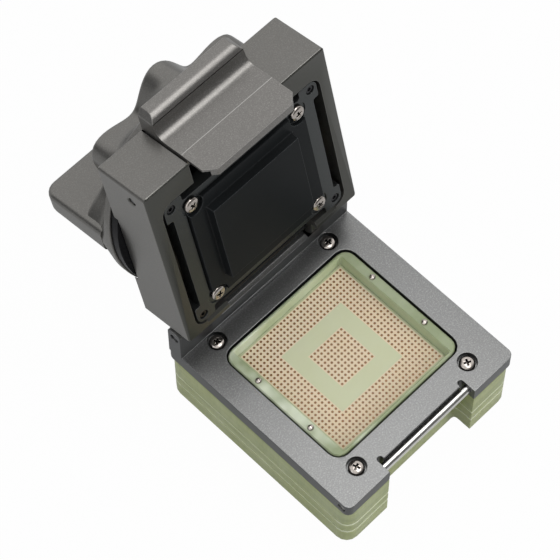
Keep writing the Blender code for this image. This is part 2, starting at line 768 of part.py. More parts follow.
def latch_outline():
    """The latch's section as (v, w) pairs, from the hook's tip round by the thumb lip."""
    inner_v = latch_face_v - latch_plate_thick
    knuckle = latch_knuckle_radius
    tooth_w = latch_tip_w + latch_tooth_thick
    points = [(latch_tooth_v, latch_tip_w), (latch_tip_v, latch_tip_w), (latch_face_v, latch_bend_w)]
    lip_wall = arc((latch_face_v + lip_fillet, lip_front_w - lip_fillet), lip_fillet, 180, 90, corner_steps)
    crown = arc((lip_top_v - lip_round, lip_front_w + lip_round), lip_round, -90, 0, corner_steps)
    back = [(lip_top_v, lip_back_w - seat_gap), (lip_top_v - seat_gap, lip_back_w),
            (tail_under_v, lip_back_w)]
    under = [(tail_under_v, latch_pin_w + knuckle)]
    round_pin = arc((latch_pin_v, latch_pin_w), knuckle, 90, 270, corner_steps * 2)
    front = [(inner_v, latch_pin_w - knuckle), (inner_v, latch_neck_w),
             (latch_relief_v, latch_neck_w - seat_gap), (latch_relief_v, tooth_w), (latch_tooth_v, tooth_w)]
    return points + lip_wall + crown + back + under + round_pin + front


def make_latch(parent):
    """The latch: a plate with a thumb lip, a pivot knuckle and a hook that takes the bar."""
    outline = [(-(v - latch_pin_v), w - latch_pin_w) for v, w in latch_outline()]
    latch = side_prism("latch", outline, -latch_half_width, latch_half_width, anodised, parent)
    cut(latch, rod("latch_pin_bore", latch_pin_radius + hole_gap, (-latch_half_width - cut_over, 0, 0),
                   (latch_half_width + cut_over, 0, 0), parent=parent, steps=12))
    centre_y = latch_pin_v - pusher_v
    cut(latch, rod("latch_ring_relief", ring_relief_radius, (0, centre_y, ring_relief_w - latch_pin_w),
                   (0, centre_y, lip_back_w + cut_over), parent=parent, steps=disc_steps))
    cut_latch_corners(latch, parent)
    return latch


def cut_latch_corners(latch, parent):
    """Slopes off the hook's two lower corners, and the two back corners of the thumb lip."""
    tip = latch_tip_w - latch_pin_w
    lip_end = latch_pin_v - lip_top_v
    for word, side in (("left", -1), ("right", 1)):
        edge = side * latch_half_width
        outer = edge + side * cut_over
        wedge = [(edge - side * latch_corner_cut, tip - cut_over), (outer, tip - cut_over),
                 (outer, tip + latch_corner_cut + cut_over),
                 (edge, tip + latch_corner_cut), (edge - side * latch_corner_cut, tip)]
        shape = flat_curve("wedge", wedge, latch_corner_reach * 2)
        bmesh.ops.transform(shape, matrix=Matrix.Rotation(math.radians(90), 4, 'X'), verts=shape.verts)
        bmesh.ops.translate(shape, vec=(0, latch_pin_v - latch_face_v, 0), verts=shape.verts)
        cut(latch, add_piece(f"latch_corner_{word}", mesh_from(shape, "wedge"), None, parent))
        slope = [(edge - side * (lip_corner_cut + cut_over), lip_end - cut_over),
                 (outer, lip_end - cut_over), (outer, lip_end + lip_corner_cut + cut_over)]
        cut(latch, plan_prism(f"lip_corner_{word}", slope, 0, lip_back_w, parent=parent))


def make_latch_hardware(parent):
    """The latch's pivot pin and the two small springs under its tail."""
    place_y, place_z = lid_y(latch_pin_v), lid_z(latch_pin_w)
    half = lid_width / 2
    rod("latch_pin", latch_pin_radius, (-half + pin_end_inset, place_y, place_z),
        (half - lid_end_to_pin - seat_gap, place_y, place_z), steel, parent, steps=12)
    for side, x in (("left", -latch_spring_x), ("right", latch_spring_x)):
        start = (x, lid_y(tail_floor_v - latch_spring_well + seat_gap), lid_z(latch_spring_w))
        end = (x, lid_y(tail_under_v - seat_gap), lid_z(latch_spring_w))
        coil(f"latch_spring_{side}", latch_spring_radius, latch_spring_wire, start, end, spring_steel,
             parent)


def lobed_outline():
    """The scalloped plan of the knob, eight lobes round its axis."""
    count = lobe_count * points_per_lobe
    points = []
    for step in range(count):
        angle = math.tau * step / count
        radius = lobe_mean_radius + lobe_swing * math.cos(lobe_count * angle)
        points.append((radius * math.cos(angle), radius * math.sin(angle)))
    return points


def make_wing(parent):
    """The wing handle: a flat paddle with rounded ends and eased edges, joined to the knob."""
    wing = wing_half_width
    low, high = lobe_w - fuse_depth, wing_end_w
    outline = [(-wing, low), (wing, low)]
    outline += arc((wing - wing_corner, high - wing_corner), wing_corner, 0, 90, corner_steps)
    outline += arc((-wing + wing_corner, high - wing_corner), wing_corner, 90, 180, corner_steps)
    shape = flat_curve("wing", outline, wing_thick)
    faces = [e for e in shape.edges if abs(e.verts[0].co.z - e.verts[1].co.z) < match_tolerance
             and max(e.verts[0].co.y, e.verts[1].co.y) > low + match_tolerance]
    rims = [e for e in faces if len(e.link_faces) == 2 and e.calc_face_angle(0) > math.radians(60)]
    bmesh.ops.bevel(shape, geom=rims, offset=wing_edge, segments=2, affect='EDGES')
    bmesh.ops.transform(shape, matrix=Matrix.Rotation(math.radians(90), 4, 'X'), verts=shape.verts)
    return add_piece("knob_wing", mesh_from(shape, "wing"), None, parent)


def make_knob(parent):
    """The knob: a round base, the lobed grip on it and the wing handle, hollow underneath."""
    knob = rod("knob", knob_base_radius, (0, 0, knob_w), (0, 0, lobe_w), anodised, parent, steps=disc_steps)
    fuse(knob, plan_prism("knob_lobes", lobed_outline(), lobe_w - fuse_depth, lobe_top_w, parent=parent))
    fuse(knob, make_wing(parent))
    cut(knob, rod("knob_cavity", knob_cavity_radius, (0, 0, knob_w - cut_over),
                  (0, 0, hub_bore_top_w), parent=parent, steps=round_steps))
    fuse(knob, rod("knob_hub", knob_hub_radius, (0, 0, knob_w), (0, 0, hub_bore_top_w + fuse_depth),
                   parent=parent, steps=round_steps))
    cut(knob, rod("knob_bore", shaft_radius + hole_gap, (0, 0, knob_w - cut_over), (0, 0, hub_bore_top_w),
                  parent=parent, steps=round_steps))
    reach = knob_hub_radius + cut_over
    cut(knob, rod("knob_pin_hole", knob_pin_radius + hole_gap, (-reach, 0, knob_pin_w),
                  (reach, 0, knob_pin_w), parent=parent, steps=12))
    return knob


def make_knob_drive(parent):
    """The drive shaft with its collar and screw tip, and the pin that ties it to the knob."""
    top = hub_bore_top_w - seat_gap
    neck = collar_w + shaft_collar_thick
    profile = [(0, top), (shaft_radius - shaft_top_inset, top), (shaft_radius, top - shaft_top_inset),
               (shaft_radius, neck), (shaft_collar_radius, neck), (shaft_collar_radius, collar_w),
               (shaft_tip_radius, collar_w), (shaft_tip_radius, collar_w - shaft_tip_length),
               (0, collar_w - shaft_tip_length)]
    shaft = turned("drive_shaft", profile, (0, 0, 0), steel, parent, steps=round_steps)
    reach = shaft_radius + cut_over
    cut(shaft, rod("shaft_pin_hole", knob_pin_radius + hole_gap, (-reach, 0, knob_pin_w),
                   (reach, 0, knob_pin_w), parent=parent, steps=12))
    half = knob_hub_radius - seat_gap
    rod("knob_pin", knob_pin_radius, (-half, 0, knob_pin_w), (half, 0, knob_pin_w), steel, parent, steps=12)


def make_thrust_ring(parent):
    """The black low-friction ring between the knob and the lid."""
    place = (0, lid_y(pusher_v), lid_z(ring_w))
    profile = [(ring_bore_radius, ring_thick), (ring_radius, ring_thick), (ring_radius, 0),
               (ring_bore_radius, 0), (ring_bore_radius, ring_thick)]
    return turned("thrust_ring", profile, place, black, parent, steps=disc_steps)


def tabbed_outline():
    """The floating plate's plan: a block with a round-cornered tab at each corner."""
    half_x, half_y, fillet = plate_width / 2, plate_length / 2, tab_fillet
    quarter = arc((half_x + fillet, tab_start_y - fillet), fillet, 180, 90, 2)
    quarter += [(tab_reach_x - tab_corner, tab_start_y), (tab_reach_x, tab_start_y + tab_corner)]
    quarter += arc((tab_reach_x - tab_round, tab_reach_y - tab_round), tab_round, 0, 90, corner_steps)
    quarter += [(tab_start_x + tab_corner, tab_reach_y), (tab_start_x, tab_reach_y - tab_corner)]
    quarter += arc((tab_start_x - fillet, half_y + fillet), fillet, 0, -90, 2)
    back = [(-x, y) for x, y in reversed(quarter)]
    return quarter + back + [(-x, -y) for x, y in quarter + back]


def make_float_plate(parent):
    """The grey plate that carries the pusher, with a tab at each corner for its guide screw."""
    plate = slab("float_plate", tabbed_outline(), plate_face_w, plate_back_w, plate_grey, parent)
    for corner, x, y in four(ear_x, ear_v):
        cut(plate, rod(f"plate_ear_bore_{corner}", shoulder_bore_radius, (x, y, plate_face_w - cut_over),
                       (x, y, plate_face_w + shoulder_bore_depth), parent=parent, steps=12))
        cut(plate, rod(f"plate_ear_hole_{corner}", shoulder_radius + hole_gap, (x, y, plate_face_w),
                       (x, y, plate_back_w + cut_over), parent=parent, steps=8))
    half_x, half_y = pusher_width / 2 + seat_gap, pusher_length / 2 + seat_gap
    cut(plate, box("plate_pocket", (-half_x, -half_y, plate_face_w - cut_over),
                   (half_x, half_y, plate_face_w + plate_pocket_depth), parent=parent, corner=pusher_corner))
    for corner, x, y in four(pusher_screw_x, pusher_screw_y):
        cut(plate, rod(f"plate_bore_{corner}", pusher_bore_radius, (x, y, plate_face_w - cut_over),
                       (x, y, pusher_bore_floor_w), parent=parent, steps=20))
        cut(plate, rod(f"plate_tap_{corner}", pusher_screw_radius + hole_gap, (x, y, plate_face_w),
                       (x, y, plate_back_w + cut_over), parent=parent, steps=12))
    return plate


def make_pusher(parent):
    """The black pusher plate with the raised island that presses on the chip."""
    half_x, half_y = pusher_width / 2, pusher_length / 2
    back = plate_face_w + plate_pocket_depth - seat_gap
    pusher = box("pusher", (-half_x, -half_y, pusher_face_w), (half_x, half_y, back), black, parent,
                 corner=pusher_corner)
    fuse(pusher, box("pusher_island", (-island_half_x, island_front_y, pusher_face_w - island_rise),
                     (island_half_x, island_back_y, pusher_face_w + fuse_depth), parent=parent,
                     flare=island_draft))
    for corner, x, y in four(pusher_screw_x, pusher_screw_y):
        cut(pusher, rod(f"pusher_bore_{corner}", pusher_bore_radius, (x, y, pusher_face_w - cut_over),
                        (x, y, pusher_bore_floor_w), parent=parent, steps=20))
        cut(pusher, rod(f"pusher_hole_{corner}", pusher_screw_radius + hole_gap, (x, y, pusher_face_w),
                        (x, y, back + cut_over), parent=parent, steps=12))
    return pusher


def make_pusher_hardware(parent):
    """The pusher's four pan-head screws and the ram nut that the drive shaft turns in."""
    seat = pusher_bore_floor_w - seat_gap
    for corner, x, y in four(pusher_screw_x, pusher_screw_y):
        holder = add_empty(f"pusher_screw_axis_{corner}", (x, y, seat), parent, 180)
        pan_screw(f"pusher_screw_{corner}", (0, 0), 0, -pusher_screw_length, pusher_screw_radius, holder,
                  pusher_head_height)
    bore = shaft_tip_radius + hole_gap
    profile = [(bore, nut_top_w), (nut_hub_radius, nut_top_w), (nut_hub_radius, nut_w + nut_flange_thick),
               (nut_flange_radius, nut_w + nut_flange_thick), (nut_flange_radius, nut_w), (bore, nut_w),
               (bore, nut_top_w)]
    turned("ram_nut", profile, (0, 0, 0), steel, parent, steps=round_steps)


def make_shoulder_screws(parent):
    """The screws fixed in the lid on which the floating plate slides, and their return springs."""
    for corner, x, y in four(ear_x, ear_v):
        head, shank = shoulder_head_radius, shoulder_radius
        under = shoulder_head_w + shoulder_head_height
        end = pocket_depth + shoulder_thread_length
        place = (x, lid_y(pusher_v - y), lid_z(0))
        profile = [(0, end), (shank, end), (shank, under), (head, under), (head, shoulder_head_w),
                   (head / 2, shoulder_head_w), (head / 2, shoulder_head_w + shoulder_head_height / 2),
                   (0, shoulder_head_w + shoulder_head_height / 2)]
        turned(f"shoulder_screw_{corner}", profile, place, steel, parent, steps=12)
        floor = plate_face_w + shoulder_bore_depth
        coil(f"return_spring_{corner}", return_spring_radius, return_spring_wire,
             (place[0], place[1], lid_z(under + hole_gap)), (place[0], place[1], lid_z(floor - hole_gap)),
             spring_steel, parent)


def make_lid():
    """Everything that swings with the lid, set open by one empty on the hinge pin."""
    lid_axis = add_empty("lid_axis", (0, pin_y, pin_z), turn=-lid_open_deg)
    middle = (0, lid_y(pusher_v), lid_z(0))
    make_lid_frame(lid_axis)
    make_latch(add_empty("latch_axis", (0, lid_y(latch_pin_v), lid_z(latch_pin_w)), lid_axis))
    make_latch_hardware(lid_axis)
    make_thrust_ring(lid_axis)
    make_shoulder_screws(lid_axis)
    knob_axis = add_empty("knob_axis", middle, lid_axis)
    make_knob(knob_axis)
    make_knob_drive(knob_axis)
    pusher_axis = add_empty("pusher_axis", middle, lid_axis)
    make_float_plate(pusher_axis)
    make_pusher(pusher_axis)
    make_pusher_hardware(pusher_axis)


def smooth_round_pieces():
    """Round surfaces shade smoothly and keep their sharp edges."""
    for piece in parts.objects:
        if piece.type == 'MESH':
            piece.data.shade_smooth()
            piece.data.set_sharp_from_angle(angle=math.radians(35))


make_base_frame()
make_stack()
make_guide(add_empty("guide_axis", (0, 0, 0)))
make_guide_hardware()
make_base_hardware()
make_lid()
smooth_round_pieces()
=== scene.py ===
"""Looks for the clamshell chip test socket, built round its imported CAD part.

Metres, +Z up, in the part's own frame. Lid pieces are worked in lid measures:
x across, v along the lid from its hinge end, w into the lid from its inner face.
"""

import json
import math

import bmesh
import bpy
from mathutils import Matrix, Vector

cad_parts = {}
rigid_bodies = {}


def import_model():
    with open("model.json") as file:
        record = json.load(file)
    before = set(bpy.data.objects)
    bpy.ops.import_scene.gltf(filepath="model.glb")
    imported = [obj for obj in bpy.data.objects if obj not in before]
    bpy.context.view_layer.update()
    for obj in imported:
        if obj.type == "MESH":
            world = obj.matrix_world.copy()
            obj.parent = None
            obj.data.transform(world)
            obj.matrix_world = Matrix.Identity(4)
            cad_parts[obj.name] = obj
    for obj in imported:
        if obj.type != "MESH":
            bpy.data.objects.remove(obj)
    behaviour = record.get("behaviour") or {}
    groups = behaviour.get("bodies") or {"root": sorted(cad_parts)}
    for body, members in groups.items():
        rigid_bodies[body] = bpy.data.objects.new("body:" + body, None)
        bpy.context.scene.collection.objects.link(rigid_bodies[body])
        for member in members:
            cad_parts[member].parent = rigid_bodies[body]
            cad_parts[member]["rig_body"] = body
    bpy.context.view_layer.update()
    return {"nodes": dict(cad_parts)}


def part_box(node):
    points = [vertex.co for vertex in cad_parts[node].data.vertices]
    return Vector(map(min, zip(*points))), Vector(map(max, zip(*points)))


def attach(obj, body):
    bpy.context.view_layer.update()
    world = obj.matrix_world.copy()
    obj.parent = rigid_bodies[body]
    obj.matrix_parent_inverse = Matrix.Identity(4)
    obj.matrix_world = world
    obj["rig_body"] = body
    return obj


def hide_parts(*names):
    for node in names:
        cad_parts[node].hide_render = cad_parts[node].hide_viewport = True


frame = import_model()

mm = 0.001

# The hinge pin, and the lid's directions when it rests open
pin_y, pin_z = 24.4 * mm, 25.96 * mm
open_angle = math.radians(102.8)
pin_v, pin_w = -2.8 * mm, 5.25 * mm
across = Vector((1, 0, 0))
up_lid = Vector((0, -math.cos(open_angle), math.sin(open_angle)))
out_of_back = Vector((0, math.sin(open_angle), math.cos(open_angle)))
pusher_v = 21.6 * mm

# Heights and radii that repeat what the part has
frame_top = 19.1 * mm
screw_seat = 17.7 * mm
screw_places = ((-16.65, -20.3), (16.65, -20.3), (-16.65, 20.3), (16.65, 20.3))
corner_words = ("front_left", "front_right", "rear_left", "rear_right")
guide_screw_places = ((-17.1, -7.6), (17.1, -7.6), (-17.1, 7.6), (17.1, 7.6))
guide_rim_top = 17.8 * mm
nest_floor = 16.2 * mm
knob_floor = 14.65 * mm

# Heights that the looks have of their own: the guide's rim stands higher, and so do the knob's lobes
guide_rim_lift = 1.15 * mm
knob_face = 24.0 * mm

# Allowances for finding faces and edges by their place
hair = 0.01 * mm
touch = 0.05 * mm
near = 0.1 * mm

round_sides = 48


def lid_point(x, v, w):
    """The place in the part's frame of a point in lid measures."""
    start = Vector((0, pin_y, pin_z))
    return start + across * x + up_lid * (v - pin_v) + out_of_back * (w - pin_w)


def lid_measures(point):
    """The lid measures (x, v, w) of a point in the part's frame."""
    away = point - Vector((0, pin_y, pin_z))
    return away.dot(across), away.dot(up_lid) + pin_v, away.dot(out_of_back) + pin_w


def place_matrix(x_way, y_way, z_way, start):
    """Turns a piece's own axes to three directions, and moves it to a place."""
    turn = Matrix((x_way, y_way, z_way)).transposed().to_4x4()
    return Matrix.Translation(start) @ turn


knob_place = place_matrix(across, -up_lid, out_of_back, lid_point(0, pusher_v, 0))


# Hand tools: selection, edit mode, modifiers


def only(piece):
    """Selects one piece and nothing else."""
    bpy.ops.object.select_all(action='DESELECT')
    piece.select_set(True)
    bpy.context.view_layer.objects.active = piece


def edit(piece, select='SELECT'):
    """Goes into edit mode on a piece, with all its faces selected or none."""
    only(piece)
    bpy.ops.object.mode_set(mode='EDIT')
    bpy.ops.mesh.select_mode(type='FACE')
    bpy.ops.mesh.select_all(action=select)


def done():
    bpy.ops.object.mode_set(mode='OBJECT')


def added(name):
    """Names the primitive that was just added."""
    piece = bpy.context.view_layer.objects.active
    piece.name = name
    piece.data.name = name
    return piece


def apply_modifier(piece, kind, **settings):
    modifier = piece.modifiers.new(kind.lower(), kind)
    for key, value in settings.items():
        setattr(modifier, key, value)
    only(piece)
    bpy.ops.object.modifier_apply(modifier=modifier.name)


def smooth(piece, degrees=38):
    """Smooth shading under an angle, with the large flat faces kept flat."""
    only(piece)
    bpy.ops.object.shade_smooth_by_angle(angle=math.radians(degrees))
    apply_modifier(piece, 'WEIGHTED_NORMAL', keep_sharp=True, weight=60)


def settle(piece, matrix=None):
    """Moves a piece's place into its mesh, so that its object sits at the origin."""
    only(piece)
    bpy.ops.object.transform_apply(location=True, rotation=True, scale=True)
    if matrix is not None:
        piece.data.transform(matrix)
        piece.data.update()
    return piece


def pick_faces(piece, wanted):
    """In edit mode: selects the faces whose (centre, normal) pass a test."""
    shape = bmesh.from_edit_mesh(piece.data)
    for face in shape.faces:
        face.select_set(bool(wanted(face.calc_center_median(), face.normal)))
    bmesh.update_edit_mesh(piece.data)


def ease(piece, width, wanted, segments=2, least_degrees=25):
    """Rounds the sharp edges whose (middle, length) pass a test."""
    shape = bmesh.new()
    shape.from_mesh(piece.data)
    weight = shape.edges.layers.float.get("bevel_weight_edge")
    if weight is None:
        weight = shape.edges.layers.float.new("bevel_weight_edge")
    for edge in shape.edges:
        middle = (edge.verts[0].co + edge.verts[1].co) / 2
        sharp = len(edge.link_faces) == 2 and edge.calc_face_angle(0) > math.radians(least_degrees)
        edge[weight] = 1.0 if sharp and wanted(middle, edge) else 0.0
    shape.to_mesh(piece.data)
    shape.free()
    apply_modifier(piece, 'BEVEL', width=width, segments=segments, limit_method='WEIGHT',
                   use_clamp_overlap=False, profile=0.5, miter_outer='MITER_SHARP')


def paint(piece, *materials):
    """Gives a piece its materials, the first one all over."""
    piece.data.materials.clear()
    for material in materials:
        piece.data.materials.append(material)
    return piece


def dress(node, name):
    """A merged copy of a CAD node, with its flat faces made whole again, that stands for it."""
    source = frame["nodes"][node]
    piece = bpy.data.objects.new(name, source.data.copy())
    bpy.context.scene.collection.objects.link(piece)
    only(piece)
    bpy.ops.mesh.customdata_custom_splitnormals_clear()
    edit(piece)
    bpy.ops.mesh.remove_doubles(threshold=0.002 * mm)
    bpy.ops.mesh.dissolve_limited(angle_limit=math.radians(0.8))
    done()
    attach(piece, source["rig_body"])
    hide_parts(node)
    return piece


def stand_for(piece, body, slot, *nodes):
    """Makes a new piece ride on a body in the place of CAD nodes."""
    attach(piece, body)
    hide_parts(*nodes)
    return piece


# Finishes


def new_group(name, inputs, outputs):
    """An empty shader node group with named sockets."""
    group = bpy.data.node_groups.new(name, 'ShaderNodeTree')
    for label, kind, value in inputs:
        socket = group.interface.new_socket(name=label, in_out='INPUT',
                                            socket_type='NodeSocket' + kind)
        if value is not None:
            socket.default_value = value
    for label, kind in outputs:
        group.interface.new_socket(name=label, in_out='OUTPUT',
                                   socket_type='NodeSocket' + kind)
    return group, group.nodes.new('NodeGroupInput'), group.nodes.new('NodeGroupOutput')


def noise(tree, vector, scale, detail=2.0, roughness=0.55):
    node = tree.nodes.new('ShaderNodeTexNoise')
    node.inputs['Detail'].default_value = detail
    node.inputs['Roughness'].default_value = roughness
    if isinstance(scale, (int, float)):
        node.inputs['Scale'].default_value = scale
    else:
        tree.links.new(scale, node.inputs['Scale'])
    tree.links.new(vector, node.inputs['Vector'])
    return node.outputs['Fac']


def spread(tree, value, low, high, to_low=0.0, to_high=1.0):
    """Maps a range of one value to another, and clamps it."""
    node = tree.nodes.new('ShaderNodeMapRange')
    for key, number in (('From Min', low), ('From Max', high), ('To Min', to_low), ('To Max', to_high)):
        node.inputs[key].default_value = number
    tree.links.new(value, node.inputs['Value'])
    return node.outputs['Result']


def times(tree, first, second, operation='MULTIPLY'):
    """Multiplies two values, or joins them by another operation."""
    node = tree.nodes.new('ShaderNodeMath')
    node.operation = operation
    for socket, value in zip(node.inputs, (first, second)):
        if isinstance(value, (int, float)):
            socket.default_value = value
        else:
            tree.links.new(value, socket)
    return node.outputs['Value']


def blend_colours(tree, share, first, second):
    """Mixes two colours, each a plain one or a socket."""
    node = tree.nodes.new('ShaderNodeMix')
    node.data_type = 'RGBA'
    for key, value in ((0, share), (6, first), (7, second)):
        if isinstance(value, (int, float)):
            node.inputs[key].default_value = value
        elif isinstance(value, tuple):
            node.inputs[key].default_value = (*value, 1)
        else:
            tree.links.new(value, node.inputs[key])
    return node.outputs[2]


def stretched(tree, vector, scale):
    """Coordinates scaled by different amounts along X, Y and Z."""
    node = tree.nodes.new('ShaderNodeMapping')
    node.inputs['Scale'].default_value = scale
    tree.links.new(vector, node.inputs['Vector'])
    return node.outputs['Vector']


def along(tree, vector, way):
    """How far a vector reaches in a direction."""
    node = tree.nodes.new('ShaderNodeVectorMath')
    node.operation = 'DOT_PRODUCT'
    node.inputs[1].default_value = way
    tree.links.new(vector, node.inputs[0])
    return node.outputs['Value']


def blasted_grain_group():
    """Fine pits and specks of a bead-blasted metal, over soft clouds."""
    tree, took, gave = new_group("blasted_grain", (
        ("Vector", 'Vector', None), ("Base", 'Color', (0.2, 0.2, 0.2, 1)),
        ("Speck", 'Color', (0.4, 0.4, 0.4, 1)),
        ("Grain", 'Float', 3200.0), ("Amount", 'Float', 0.3), ("Cloud", 'Float', 0.12)),
        (("Color", 'Color'), ("Height", 'Float'), ("Roughness", 'Float')))
    grain = noise(tree, took.outputs["Vector"], took.outputs["Grain"], 3.0, 0.7)
    specks = times(tree, spread(tree, grain, 0.48, 0.72), took.outputs["Amount"])
    cloud = spread(tree, noise(tree, took.outputs["Vector"], 70.0, 2.0), 0.3, 0.7)
    darker = times(tree, cloud, took.outputs["Cloud"])
    shade = (0.03, 0.032, 0.036)
    tint = blend_colours(tree, darker, took.outputs["Base"], shade)
    colour = blend_colours(tree, specks, tint, took.outputs["Speck"])
    tree.links.new(colour, gave.inputs["Color"])
    tree.links.new(grain, gave.inputs["Height"])
    tree.links.new(spread(tree, grain, 0.3, 0.7, 0.29, 0.35), gave.inputs["Roughness"])
    return tree


def highlighted_wear_group():
    """Lighter metal along the edges, partly rubbed metal and partly a painted highlight, broken up by a
    little noise.
    """
    tree, took, gave = new_group("edge_wear_and_highlight", (
        ("Vector", 'Vector', None), ("Color", 'Color', (0.2, 0.2, 0.2, 1)),
        ("Bare", 'Color', (0.5, 0.5, 0.5, 1)),
        ("Amount", 'Float', 0.5)), (("Color", 'Color'), ("Mask", 'Float')))
    shape = tree.nodes.new('ShaderNodeNewGeometry')
    rounded = tree.nodes.new('ShaderNodeBevel')
    rounded.samples = 6
    edge_band_width = 0.22 * mm
    rounded.inputs['Radius'].default_value = edge_band_width
    agree = tree.nodes.new('ShaderNodeVectorMath')
    agree.operation = 'DOT_PRODUCT'
    tree.links.new(shape.outputs['Normal'], agree.inputs[0])
    tree.links.new(rounded.outputs['Normal'], agree.inputs[1])
    edges = spread(tree, agree.outputs['Value'], 0.995, 0.86)
    broken = spread(tree, noise(tree, took.outputs["Vector"], 900.0, 3.0), 0.35, 0.6, 0.75, 1.0)
    mask = times(tree, times(tree, edges, broken), took.outputs["Amount"])
    # Partly wear, partly painted highlight: the mask lightens the colour along every edge.
    colour = blend_colours(tree, mask, took.outputs["Color"], took.outputs["Bare"])
    tree.links.new(colour, gave.inputs["Color"])
    tree.links.new(mask, gave.inputs["Mask"])
    return tree


def glass_cloth_group():
    """Pale resin with flat glass plies and a faint weave, as a sawn laminate shows."""
    tree, took, gave = new_group("glass_cloth", (
        ("Vector", 'Vector', None), ("Resin", 'Color', (0.5, 0.55, 0.35, 1)),
        ("Ply", 'Color', (0.4, 0.5, 0.3, 1)),
        ("Ply Scale", 'Float', 1.0), ("Amount", 'Float', 0.5), ("Milk", 'Float', 0.1)),
        (("Color", 'Color'), ("Height", 'Float')))
    milky = (0.60, 0.64, 0.50)
    flat = stretched(tree, took.outputs["Vector"], (34, 34, 1500))
    plies = spread(tree, noise(tree, flat, took.outputs["Ply Scale"], 2.0), 0.36, 0.64)
    threads = stretched(tree, took.outputs["Vector"], (1500, 1500, 300))
    weave = spread(tree, noise(tree, threads, 1.0, 2.0), 0.4, 0.62)
    broad = stretched(tree, took.outputs["Vector"], (9, 9, 330))
    layers = spread(tree, noise(tree, broad, 1.0, 1.0), 0.38, 0.62)
    patches = spread(tree, noise(tree, took.outputs["Vector"], 120.0, 2.0), 0.4, 0.62)
    fine = times(tree, times(tree, plies, 0.45), times(tree, weave, 0.2), 'ADD')
    share = times(tree, fine, times(tree, layers, 0.35), 'ADD')
    colour = blend_colours(tree, times(tree, share, took.outputs["Amount"]), took.outputs["Resin"],
                           took.outputs["Ply"])
    soft = blend_colours(tree, times(tree, patches, took.outputs["Milk"]), colour, milky)
    tree.links.new(soft, gave.inputs["Color"])
    tree.links.new(share, gave.inputs["Height"])
    return tree


def drawn_steel_group():
    """Long fine draw lines and faint smears on bright steel."""
    tree, took, gave = new_group("drawn_steel", (
        ("Vector", 'Vector', None), ("Light", 'Color', (0.8, 0.79, 0.77, 1)),
        ("Dark", 'Color', (0.45, 0.44, 0.42, 1)), ("Amount", 'Float', 0.4)),
        (("Color", 'Color'), ("Height", 'Float'), ("Roughness", 'Float')))
    lines = noise(tree, stretched(tree, took.outputs["Vector"], (120, 4200, 4200)), 1.0, 3.0)
    smears = noise(tree, took.outputs["Vector"], 420.0, 2.0)
    share = times(tree, spread(tree, lines, 0.38, 0.68), took.outputs["Amount"])
    colour = blend_colours(tree, share, took.outputs["Light"], took.outputs["Dark"])
    tree.links.new(colour, gave.inputs["Color"])
    tree.links.new(lines, gave.inputs["Height"])
    tree.links.new(spread(tree, smears, 0.3, 0.7, 0.12, 0.26), gave.inputs["Roughness"])
    return tree


grain_group = blasted_grain_group()
edge_light_group = highlighted_wear_group()
cloth_group = glass_cloth_group()
steel_group = drawn_steel_group()


def start_material(name, metallic, roughness, specular=0.5):
    """A material with its Principled shader, and Object coordinates to drive its pattern."""
    material = bpy.data.materials.new(name)
    material.use_nodes = True
    tree = material.node_tree
    shader = tree.nodes["Principled BSDF"]
    shader.inputs["Metallic"].default_value = metallic
    shader.inputs["Roughness"].default_value = roughness
    shader.inputs["Specular IOR Level"].default_value = specular
    coordinates = tree.nodes.new('ShaderNodeTexCoord')
    return material, tree, shader, coordinates.outputs['Object']


def use_group(tree, group, vector, **values):
    """Places a node group in a material with its own values: plain ones or sockets."""
    node = tree.nodes.new('ShaderNodeGroup')
    node.node_tree = group
    tree.links.new(vector, node.inputs["Vector"])
    for key, value in values.items():
        socket = node.inputs[key.replace("_", " ")]
        if isinstance(value, tuple):
            socket.default_value = (*value, 1)
        elif isinstance(value, (int, float)):
            socket.default_value = value
        else:
            tree.links.new(value, socket)
    return node


def add_bump(tree, shader, height, strength, distance):
    """Fine relief from a height pattern."""
    bump = tree.nodes.new('ShaderNodeBump')
    bump.inputs['Strength'].default_value = strength
    bump.inputs['Distance'].default_value = distance
    tree.links.new(height, bump.inputs['Height'])
    tree.links.new(bump.outputs['Normal'], shader.inputs['Normal'])


def blasted(name, base, speck, edge_colour, amount, grain, cloud, rub_and_highlight, metallic=0.85, bump=0.12, ior=1.5):
    """A bead-blasted, anodised metal finish, or a satin moulded one where it isn't metallic."""
    material, tree, shader, place = start_material(name, metallic, 0.45)
    shader.inputs["IOR"].default_value = ior
    skin = use_group(tree, grain_group, place, Base=base, Speck=speck, Grain=grain, Amount=amount,
                     Cloud=cloud)
    # Edges painted lighter, partly as wear and partly as a painted highlight.
    rubbed_and_highlighted = use_group(tree, edge_light_group, place, Color=skin.outputs["Color"], Bare=edge_colour, Amount=rub_and_highlight)
    tree.links.new(rubbed_and_highlighted.outputs["Color"], shader.inputs["Base Color"])
    tree.links.new(skin.outputs["Roughness"], shader.inputs["Roughness"])
    add_bump(tree, shader, skin.outputs["Height"], bump, 0.02 * mm)
    return material


def laminated(name, resin, ply, amount, roughness, ply_scale=1.0, milk=0.1, milk_side=None):
    """A glass-cloth laminate finish, milkier towards one side where one is given."""
    material, tree, shader, place = start_material(name, 0.0, roughness, 0.35)
    if milk_side is not None:
        milk = spread(tree, along(tree, place, milk_side), -12 * mm, 16 * mm, 0.15 * milk, milk)
    skin = use_group(tree, cloth_group, place, Resin=resin, Ply=ply, Amount=amount,
                     Ply_Scale=ply_scale, Milk=milk)
    tree.links.new(skin.outputs["Color"], shader.inputs["Base Color"])
    add_bump(tree, shader, skin.outputs["Height"], 0.15, 0.03 * mm)
    shader.inputs["Subsurface Weight"].default_value = 0.25
    shader.inputs["Subsurface Radius"].default_value = (0.0012, 0.0014, 0.0008)
    shader.inputs["Subsurface Scale"].default_value = 1.0
    return material


